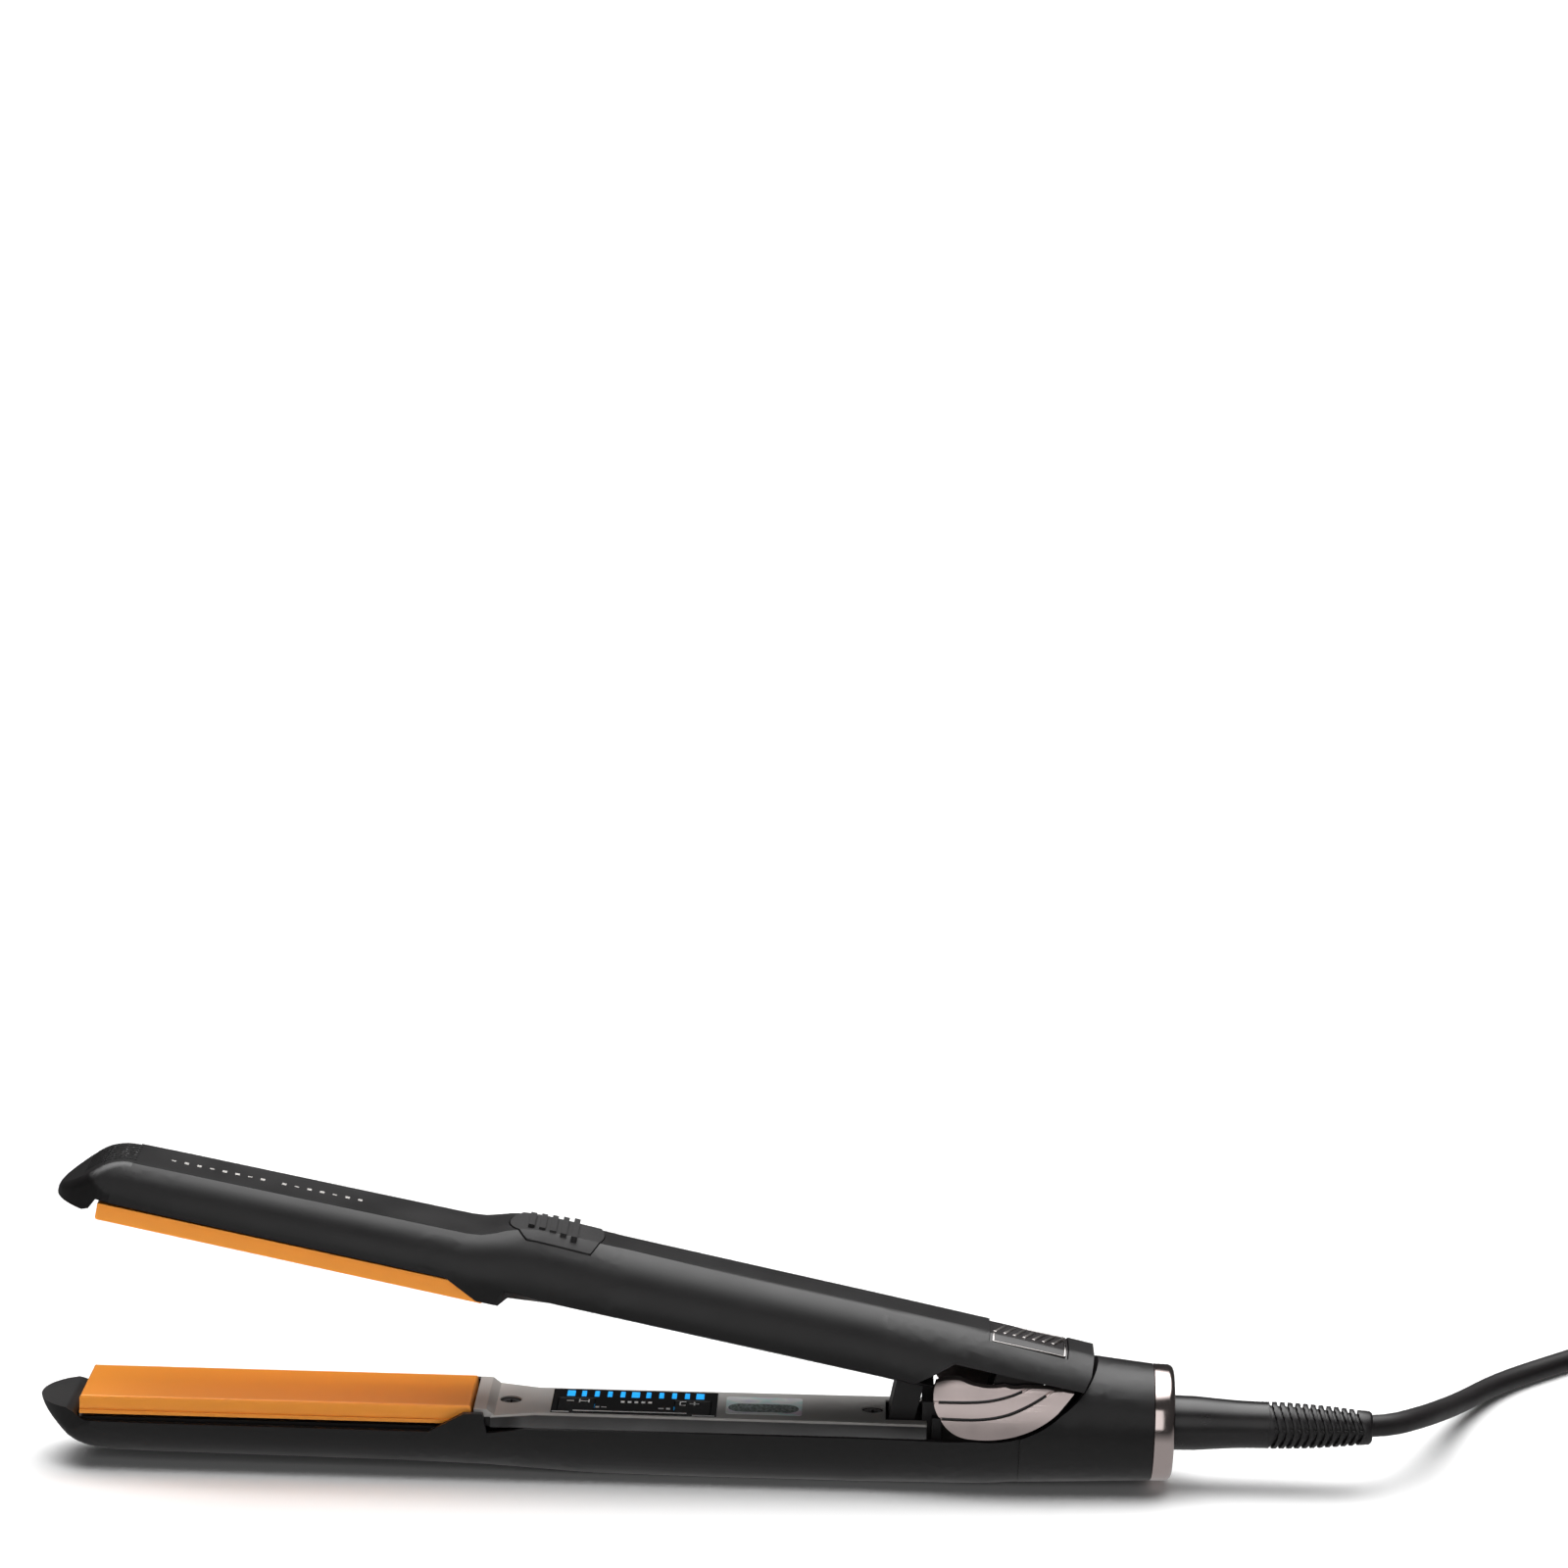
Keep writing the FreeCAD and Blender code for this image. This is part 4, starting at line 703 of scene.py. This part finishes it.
class STRAIGHTENER_OT_hinge(PieceOperator, Operator):
    """The leaf-shaped hinge caps with their two cut grooves, the yoke and the wire guide"""
    bl_idname = "straightener.hinge"
    bl_label = "Hinge"

    GROOVES = (((221.0, 5.3), (223.7, 5.4), (229.4, 5.4), (235.3, 5.7), (240.2, 6.7), (244.2, 8.1),
                (247.4, 9.7)),
               ((221.0, 1.6), (224.6, 1.5), (230.5, 1.3), (236.4, 1.7), (241.3, 2.9), (246.1, 5.1),
                (250.0, 7.4), (253.4, 9.4)))
    # How far the middle lines of a groove and of the dark strip of painted shade in it stand from the barrel's
    # axis, in millimetres.
    CUT, PAINT = 17.4, 17.12

    def execute(self, context):
        nickel = satin_metal("Satin dark nickel", sizes().finishes.metal, 0.42)
        shade_strips = []
        for side, sign in (("front", -1.0), ("back", 1.0)):
            cap = from_node("hinge_cap_" + side, "leaf_cap_" + side, 0.22 * MM)
            for path in self.GROOVES:
                carve(cap, self.over_cap(path, sign, self.CUT), 0.42, lower_place())
                # Painted shade: a dark strip along each groove's bottom stands in for the shade that falls in
                # the groove.
                shade_strip_path = self.over_cap(path[1:-1], sign, self.PAINT)
                shade_strips.append(round_line("inlay", shade_strip_path, 0.34, lower_place()))
            finish_piece(cap, "lower_arm", nickel, ["hinge_cap_" + side])
        # The strips' near-black material is painted shade in the grooves.
        groove_shade_coat = moulded("Black lacquer in the grooves", linear("#0b090a"), 0.3, 0.003)
        finish_piece(join(shade_strips, "groove_paint"), "lower_arm", groove_shade_coat)
        nylon = moulded("Moulded nylon", linear("#1a1819"), 0.3, 0.006)
        refine("wire_guide", "wire_channel", 0.35 * MM, "upper_arm", nylon)
        filled = moulded("Glass-filled nylon", linear("#1f1d1e"), 0.4, 0.01)
        refine("hinge_yoke", "yoke_block", 0.3 * MM, "lower_arm", filled)
        return {"FINISHED"}

    def over_cap(self, path, sign, reach):
        """The line's points at a given distance from the barrel's axis."""
        return [(x, sign * math.sqrt(max(reach ** 2 - (z + BARREL_DROP) ** 2, 0.0)), z) for x, z in path]


class STRAIGHTENER_OT_grip(PieceOperator, Operator):
    """The rubber thumb pad with five cross ribs"""
    bl_idname = "straightener.grip"
    bl_label = "Thumb pad"

    def execute(self, context):
        rubber = moulded("Textured grip rubber", linear("#171516"), 0.35, 0.02, (0.5, 0.62))
        refine("thumb_grip", "thumb_pad", 0.3 * MM, "upper_arm", rubber)
        return {"FINISHED"}


class STRAIGHTENER_OT_badge(PieceOperator, Operator):
    """The sunken badge: a thin raised frame round a row of plain slanted bars"""
    bl_idname = "straightener.badge"
    bl_label = "Badge"

    def execute(self, context):
        base = moulded("Badge base", linear("#2a2728"), 0.3, 0.006, (0.3, 0.4))
        metal = satin_metal("Brushed badge metal", linear("#b7b2b0"), 0.26)
        refine("badge_plate", "badge_base", 0.15 * MM, "upper_arm", base)
        bars = []
        for number in range(7):
            bar = slab("bar", (-0.45, -3.6, 18.0), (0.45, 3.6, 19.0), 0.2)
            bar.matrix_world = (Matrix.Translation(((234.8 + 2.45 * number) * MM, 0.0, 0.0))
                                @ Matrix.Rotation(math.radians(-24), 4, "Z"))
            bars.append(freeze(bar))
        row = join(bars + self.frame_bars(), "badge_bars")
        smooth(row)
        finish_piece(freeze(row, upper_place()), "upper_arm", metal)
        return {"FINISHED"}

    def frame_bars(self):
        """Thin rails round the sunken field; the end rails bend down over the arm's shoulders."""
        made = []
        for sign in (-1.0, 1.0):
            made.append(slab("rail", (232.9, sign * 7.5 - 0.25, 17.3), (251.3, sign * 7.5 + 0.25, 17.85), 0.12))
            for x in (232.9, 251.0):
                made.append(slab("rail", (x, -4.4 if sign > 0 else -4.3, 18.3), (x + 0.5, 4.4, 18.85), 0.12))
                side = slab("rail", (x, -1.75, -0.28), (x + 0.5, 1.75, 0.28), 0.12)
                side.matrix_world = (Matrix.Translation((0.0, sign * 5.95 * MM, 18.12 * MM))
                                     @ Matrix.Rotation(-sign * math.radians(17.0), 4, "X"))
                made.append(freeze(side))
        return made


class STRAIGHTENER_OT_power_key(PieceOperator, Operator):
    """The power key in the upper inner cover, with a ring mark"""
    bl_idname = "straightener.power_key"
    bl_label = "Power key"

    def execute(self, context):
        black = moulded("Key moulding", linear("#201e1f"), 0.3, 0.006, (0.35, 0.45))
        refine("power_button", "power_key_top", 0.35 * MM, "power_key", black)
        deselect()
        bpy.ops.mesh.primitive_torus_add(major_radius=2.0 * MM, minor_radius=0.16 * MM, major_segments=40,
                                         minor_segments=8, location=(144.8 * MM, 0.0, 2.22 * MM))
        ring = named("power_ring")
        bpy.ops.transform.resize(value=(1.0, 1.0, 0.5))
        smooth(ring, 60.0)
        finish_piece(freeze(ring, upper_place()), "power_key",
                     moulded("Pale key print", linear("#c9c7c5"), 0.2, 0.001))
        return {"FINISHED"}


class STRAIGHTENER_OT_collar(PieceOperator, Operator):
    """The polished collar ring round the end of the barrel"""
    bl_idname = "straightener.collar"
    bl_label = "Collar"

    def execute(self, context):
        axis = sizes().arms.plane - COLLAR_DROP * MM
        start = 277.0 * MM - sizes().arms.half_length
        outline = [(0.0, 14.3), (0.3, 14.58), (3.7, 14.5), (4.4, 14.25), (4.9, 13.8), (5.2, 13.1), (5.2, 12.7)]
        bore = in_metres([(0.0, 12.62), (5.2, 12.62)], start)
        ring = bored("polished_collar", in_metres(outline, start), bore, axis, 96)
        smooth(ring, 30.0)
        chrome = satin_metal("Polished dark chrome", sizes().finishes.metal, 0.1, 0.4, 0.0006, 0.02)
        finish_piece(ring, "lower_arm", chrome, ["collar_ring"])
        return {"FINISHED"}


class STRAIGHTENER_OT_swivel(PieceOperator, Operator):
    """The swivel neck and the slotted strain relief behind it"""
    bl_idname = "straightener.swivel"
    bl_label = "Swivel and strain relief"

    SLOT = ((0.0, 0.0), (0.1, -0.95), (0.85, -0.98), (0.95, -0.02), (1.2, 0.03), (1.7, 0.0))

    def execute(self, context):
        left = sizes().arms.half_length
        axis = sizes().arms.plane - COLLAR_DROP * MM
        neck = [(275.2, 5.2), (275.3, 9.0), (276.6, 9.0), (276.6, 6.85), (283.0, 6.85), (288.0, 6.75),
                (293.0, 6.35), (298.0, 6.0), (302.0, 5.85), (306.0, 5.8)]
        bore = in_metres([(275.2, CORD_BORE), (306.0, CORD_BORE)], -left)
        body = bored("neck_sleeve", in_metres(neck, -left), bore, axis)
        smooth(body, 30.0)
        black = moulded("Satin neck moulding", linear("#1c1a1b"), 0.35, 0.004, (0.26, 0.34))
        finish_piece(body, "swivel", black, ["swivel_neck"])
        self.relief(left, axis)
        return {"FINISHED"}

    def relief(self, left, axis):
        """Twelve turned slots, drawn back towards the top and the bottom, and a thin rib along each side."""
        points = [(306.02, 5.75), (307.4, 5.8)]
        slots, first, pitch = 12, 307.6, 1.93
        for number in range(slots):
            share = (number + 0.5) / slots
            radius = 5.85 - 1.75 * share * share * 0.75 - 0.3 * share
            x = first + pitch * number
            points += [(x + run, radius + rise) for run, rise in self.SLOT]
        points += [(331.2, 4.2), (331.7, 3.9), (331.95, 3.6)]
        bore = in_metres([(306.02, CORD_BORE), (324.0, CORD_BORE), (331.95, 3.5)], -left)
        body = bored("cord_relief", in_metres(points, -left), bore, axis)
        edit(body, "VERT")
        for step in range(1, 9):
            low, high = (step - 0.5) / 8.0, (step + 0.5) / 8.0
            mid = (first + 11.0) * MM - left

            def in_band(v, low=low, high=high):
                out = math.hypot(v.co.y, v.co.z - axis)
                share = abs(v.co.z - axis) / out
                return low <= share < high and abs(v.co.x - mid) < 12.0 * MM and out > 3.3 * MM

            select_where("verts", in_band)
            bpy.ops.transform.translate(value=(-1.5 * (step / 8.0) ** 1.4 * MM, 0.0, 0.0))
        leave()
        smooth(body)
        spines = []
        for sign in (-1.0, 1.0):
            rib = slab("rib", (307.0 - left / MM, -0.35, axis / MM - 0.5),
                       (331.0 - left / MM, 0.35, axis / MM + 0.5), 0.15)
            rib.matrix_world = (Matrix.Translation((0.0, sign * 4.45 * MM, 0.0))
                                @ Matrix.Translation((319.0 * MM - left, 0.0, axis))
                                @ Matrix.Rotation(-sign * math.radians(3.4), 4, "Z")
                                @ Matrix.Translation((left - 319.0 * MM, 0.0, -axis)))
            spines.append(freeze(rib))
        whole = join([body] + spines, "cord_relief")
        rubber = moulded("Flexible PVC relief", linear("#1b191a"), 0.3, 0.006, (0.34, 0.44))
        finish_piece(whole, "swivel", rubber, ["strain_relief"])


class STRAIGHTENER_OT_cord(PieceOperator, Operator):
    """The mains cord as one line: down from the relief, round the tied coil and on to the plug"""
    bl_idname = "straightener.cord"
    bl_label = "Cord"

    LEAD = ((0.150, 0.0, 0.016), (0.168, 0.00015, 0.01605), (0.1788, 0.0125, 0.0147), (0.1868, 0.0330, 0.0101),
            (0.1945, 0.054, 0.0055), (0.207, 0.079, 0.0029), (0.226, 0.0985, 0.0028))
    TURNS = 7.375
    TAIL = ((0.31505, 0.066, 0.007), (0.311, 0.045, 0.0042), (0.299, 0.028, 0.0046), (0.2805, 0.0205, 0.00685))

    def ease(self, value, low, high):
        share = min(max((value - low) / (high - low), 0.0), 1.0)
        return share * share * (3.0 - 2.0 * share)

    def turn_point(self, turn):
        """A point of the winding: inward in the lower layer, up inside the hole, outward in the upper layer."""
        s = sizes().cord
        rings = 3.0
        if turn < 4.0:
            ring = min(math.floor(turn) + self.ease(turn % 1.0, 0.7, 1.0), rings)
            radius = s.outer_turn - s.step * ring
            dip = self.ease(turn, 3.45, 3.6) * (1.0 - self.ease(turn, 3.85, 4.0))
            radius -= 5.2 * MM * dip
        else:
            ring = math.floor(turn - 4.0) + self.ease((turn - 4.0) % 1.0, 0.7, 1.0)
            radius = s.outer_turn - s.step * (rings - min(ring, rings))
        height = s.radius + s.step * self.ease(turn, 3.6, 3.9)
        angle = math.radians(135.0 - 360.0 * turn)
        return (s.coil_x + radius * math.cos(angle), s.coil_y + radius * math.sin(angle), height)

    def execute(self, context):
        s = sizes().cord
        steps = s.steps_per_turn
        coil = [self.turn_point(number / steps) for number in range(round(self.TURNS * steps) + 1)]
        smooth_line(list(self.LEAD) + coil + list(self.TAIL), s.radius, 4, 4)
        cord = named("mains_cord")
        jacket = moulded("Flexible PVC jacket", sizes().finishes.cord, 0.5, 0.01, (0.42, 0.5))
        cord.data.materials.append(jacket)
        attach(cord, "lower_arm")
        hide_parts("cord_lead", "cord_coil", "cord_tail")
        return {"FINISHED"}


class STRAIGHTENER_OT_strap(PieceOperator, Operator):
    """The hook-and-loop strap round the wound cord"""
    bl_idname = "straightener.strap"
    bl_label = "Cord strap"

    def execute(self, context):
        refine("cord_tie", "coil_strap", 0.4 * MM, "lower_arm", hook_tape("Hook-and-loop tape"))
        return {"FINISHED"}


class STRAIGHTENER_OT_plug(PieceOperator, Operator):
    """The flat two-pin plug with finger grips and sleeved pins"""
    bl_idname = "straightener.plug"
    bl_label = "Plug"

    def place(self):
        end, before = STRAIGHTENER_OT_cord.TAIL[-1], STRAIGHTENER_OT_cord.TAIL[-2]
        heading = math.atan2(end[1] - before[1], end[0] - before[0])
        return Matrix.Translation((end[0], end[1], 6.85 * MM)) @ Matrix.Rotation(heading, 4, "Z")

    def execute(self, context):
        body = slab("plug_moulding", (0.0, -4.3, -3.9), (0.5, 4.3, 3.9))
        edit(body)
        select_where("faces", lambda f: f.normal.x > 0.9)
        at, wide, tall = 0.5, 8.6, 7.8
        for x, y, z in ((6.0, 13.6, 10.6), (12.0, 21.0, 11.8), (19.0, 30.0, 13.2), (24.0, 34.2, 13.6),
                        (35.4, 34.6, 13.6)):
            bpy.ops.mesh.extrude_region_move(TRANSFORM_OT_translate={"value": ((x - at) * MM, 0.0, 0.0)})
            bpy.ops.transform.resize(value=(1.0, y / wide, z / tall), center_override=(x * MM, 0.0, 0.0))
            at, wide, tall = x, y, z
        leave()
        rounded(body, 2.4 * MM, 5, 40.0)
        ribs = []
        for sign in (-1.0, 1.0):
            for number in range(4):
                x = 13.0 + 2.6 * number
                ribs.append(slab("rib", (x, -5.0, sign * 5.4 - 1.0), (x + 1.1, 5.0, sign * 5.4 + 1.0), 0.4))
        body = join([body] + ribs, "plug_moulding")
        smooth(body)
        pvc = moulded("Moulded PVC plug", linear("#1d1b1c"), 0.4, 0.012, (0.42, 0.5))
        finish_piece(freeze(body, self.place()), "lower_arm", pvc, ["plug_body"])
        pins = []
        outline = in_metres([(35.6, 1.8), (36.0, 2.0), (53.2, 2.0), (54.1, 1.6), (54.5, 0.8)])
        for sign in (-1.0, 1.0):
            pin = lathe("pin", outline, 0.0, 24)
            pin.matrix_world = Matrix.Translation((0.0, sign * 9.3 * MM, 0.0))
            pins.append(freeze(pin))
        both = join(pins, "plug_contacts")
        smooth(both)
        nickel = satin_metal("Nickel-plated brass", linear("#c9c4b6"), 0.2)
        finish_piece(freeze(both, self.place()), "lower_arm", nickel, ["plug_pins"])
        return {"FINISHED"}


class STRAIGHTENER_OT_inside(PieceOperator, Operator):
    """Materials of the working parts inside the arms, which keep their CAD shapes"""
    bl_idname = "straightener.inside"
    bl_label = "Working parts"

    def execute(self, context):
        board = circuit_board("Solder-masked board")
        parts = moulded("Moulded epoxy parts", linear("#222224"), 0.3, 0.004)
        steel = satin_metal("Spring steel", linear("#b4b2ae"), 0.24)
        ceramic = moulded("Alumina heater", linear("#e4dfd2"), 0.4, 0.006, (0.5, 0.6))
        tray = moulded("Heat-proof PPS tray", linear("#171516"), 0.35, 0.008, (0.45, 0.55))
        silicone = moulded("Silicone cushion", linear("#a54b33"), 0.4, 0.006, (0.45, 0.6))
        brass = satin_metal("Brass slip ring", linear("#c7a35a"), 0.22)
        wanted = ((board, ("control_board", "upper_switch_board")),
                  (parts, ("board_components", "tact_switches", "upper_switch", "end_cap", "brush_block")),
                  (steel, ("hinge_pin", "hinge_washers", "hinge_spring", "lower_heater_clip",
                           "upper_heater_clip", "thermal_fuse")),
                  (ceramic, ("lower_heater", "upper_heater")),
                  (tray, ("lower_plate_carrier", "upper_plate_carrier")),
                  (silicone, ("lower_cushions", "upper_cushions")),
                  (brass, ("slip_rings",)))
        for material, nodes in wanted:
            for node in nodes:
                dress_node(node, material)
        return {"FINISHED"}


class STRAIGHTENER_OT_stage(PieceOperator, Operator):
    """Pale floor, soft studio light and the camera"""
    bl_idname = "straightener.stage"
    bl_label = "Stage"

    def execute(self, context):
        self.floor()
        self.lights(context.scene)
        self.camera(context.scene)
        return {"FINISHED"}

    def floor(self):
        deselect()
        bpy.ops.mesh.primitive_plane_add(size=600.0, location=(0.0, 0.0, 0.0))
        floor = named("studio_floor")
        made, _, shader = new_material("Matt white sweep")
        shade(shader, Base_Color=(0.92, 0.92, 0.92, 1.0), Roughness=0.9, Specular_IOR_Level=0.1)
        floor.data.materials.append(made)
        floor.visible_glossy = False        # the black coat stays dark, as over a masked table

    def lights(self, scene):
        world = bpy.data.worlds.new("Soft studio")
        world.use_nodes = True
        tree = world.node_tree
        where = add(tree, "ShaderNodeTexCoord").outputs["Generated"]
        overhead = add(tree, "ShaderNodeVectorMath", {0: where, 1: (0.0, 0.24, 0.971)}, operation="DOT_PRODUCT")
        softbox = add(tree, "ShaderNodeMapRange", {"Value": overhead.outputs["Value"], "From Min": 0.72,
                                                   "From Max": 0.97, "To Min": 0.04, "To Max": 4.9},
                      interpolation_type="SMOOTHSTEP")
        height = add(tree, "ShaderNodeSeparateXYZ", {"Vector": where}).outputs["Z"]
        table = add(tree, "ShaderNodeMapRange", {"Value": height, "From Min": -0.05, "From Max": -0.4,
                                                 "To Min": 0.0, "To Max": 0.34})
        strength = add(tree, "ShaderNodeMath", {0: softbox.outputs["Result"], 1: table.outputs["Result"]},
                       operation="ADD")
        shade(tree.nodes["Background"], Color=(1.0, 1.0, 1.0, 1.0), Strength=strength.outputs[0])
        scene.world = world
        deselect()
        bpy.ops.object.light_add(type="SUN", location=(0.0, 0.0, 1.0))
        sun = bpy.context.object
        sun.name = "high_soft_light"
        sun.data.energy = 0.25
        sun.data.angle = math.radians(40.0)
        sun.rotation_euler = (math.radians(-22.0), math.radians(-6.0), 0.0)
        bpy.ops.object.light_add(type="AREA", location=(0.05, -1.2, 0.5))
        fill = bpy.context.object
        fill.name = "front_fill"
        fill.data.energy = 2.6
        fill.data.size = 0.9
        aim = Vector((0.0, 0.0, 0.03)) - fill.location
        fill.rotation_euler = aim.to_track_quat("-Z", "Y").to_euler()
        scene.view_settings.view_transform = "Standard"

    def camera(self, scene):
        yaw, pitch, roll = (math.radians(a) for a in (-0.77, 17.53, 1.37))
        ahead = Vector((math.sin(yaw) * math.cos(pitch), math.cos(yaw) * math.cos(pitch), -math.sin(pitch)))
        right = Vector((math.cos(yaw), -math.sin(yaw), 0.0))
        up = right.cross(ahead)
        across = right * math.cos(roll) + up * math.sin(roll)
        over = up * math.cos(roll) - right * math.sin(roll)
        turn = Matrix((across, over, -ahead)).transposed().to_4x4()
        seen, distance = Vector((0.0189, 0.0, 0.0417)), 1.273
        deselect()
        bpy.ops.object.camera_add(location=(0.0, 0.0, 0.0))
        view = bpy.context.object
        view.name = "studio_camera"
        view.matrix_world = Matrix.Translation(seen - ahead * distance) @ turn
        view.data.sensor_width = 36.0
        view.data.lens = 117.83
        view.data.shift_y = 0.3375
        view.data.clip_end = 1000.0
        scene.camera = view


STEPS = (STRAIGHTENER_OT_stage, STRAIGHTENER_OT_casings, STRAIGHTENER_OT_plates, STRAIGHTENER_OT_covers,
         STRAIGHTENER_OT_panel, STRAIGHTENER_OT_label, STRAIGHTENER_OT_hinge, STRAIGHTENER_OT_grip,
         STRAIGHTENER_OT_badge, STRAIGHTENER_OT_power_key, STRAIGHTENER_OT_collar, STRAIGHTENER_OT_swivel,
         STRAIGHTENER_OT_plug, STRAIGHTENER_OT_strap, STRAIGHTENER_OT_cord, STRAIGHTENER_OT_inside)
GROUPS = (ArmSizes, PlateSizes, PanelSizes, CordSizes, Finishes, Straightener)


class STRAIGHTENER_PT_panel(Panel):
    """Buttons for the pieces, in the order they are made, and their sizes and colours"""
    bl_idname = "STRAIGHTENER_PT_panel"
    bl_label = "Hair straightener"
    bl_space_type = "VIEW_3D"
    bl_region_type = "UI"
    bl_category = "Straightener"

    def draw(self, context):
        for step in STEPS:
            self.layout.operator(step.bl_idname)
        for group in ("arms", "plates", "panel", "cord", "finishes"):
            settings = getattr(context.scene.straightener, group)
            box = self.layout.box()
            box.label(text=group.title())
            for name in settings.__annotations__:
                box.prop(settings, name)


def register():
    for item in GROUPS + STEPS + (STRAIGHTENER_PT_panel,):
        bpy.utils.register_class(item)
    bpy.types.Scene.straightener = PointerProperty(type=Straightener)


def unregister():
    del bpy.types.Scene.straightener
    for item in reversed(GROUPS + STEPS + (STRAIGHTENER_PT_panel,)):
        bpy.utils.unregister_class(item)


def main():
    register()
    for step in STEPS:
        group, name = step.bl_idname.split(".")
        getattr(getattr(bpy.ops, group), name)()
    bpy.context.view_layer.update()


if __name__ == "__main__":
    main()
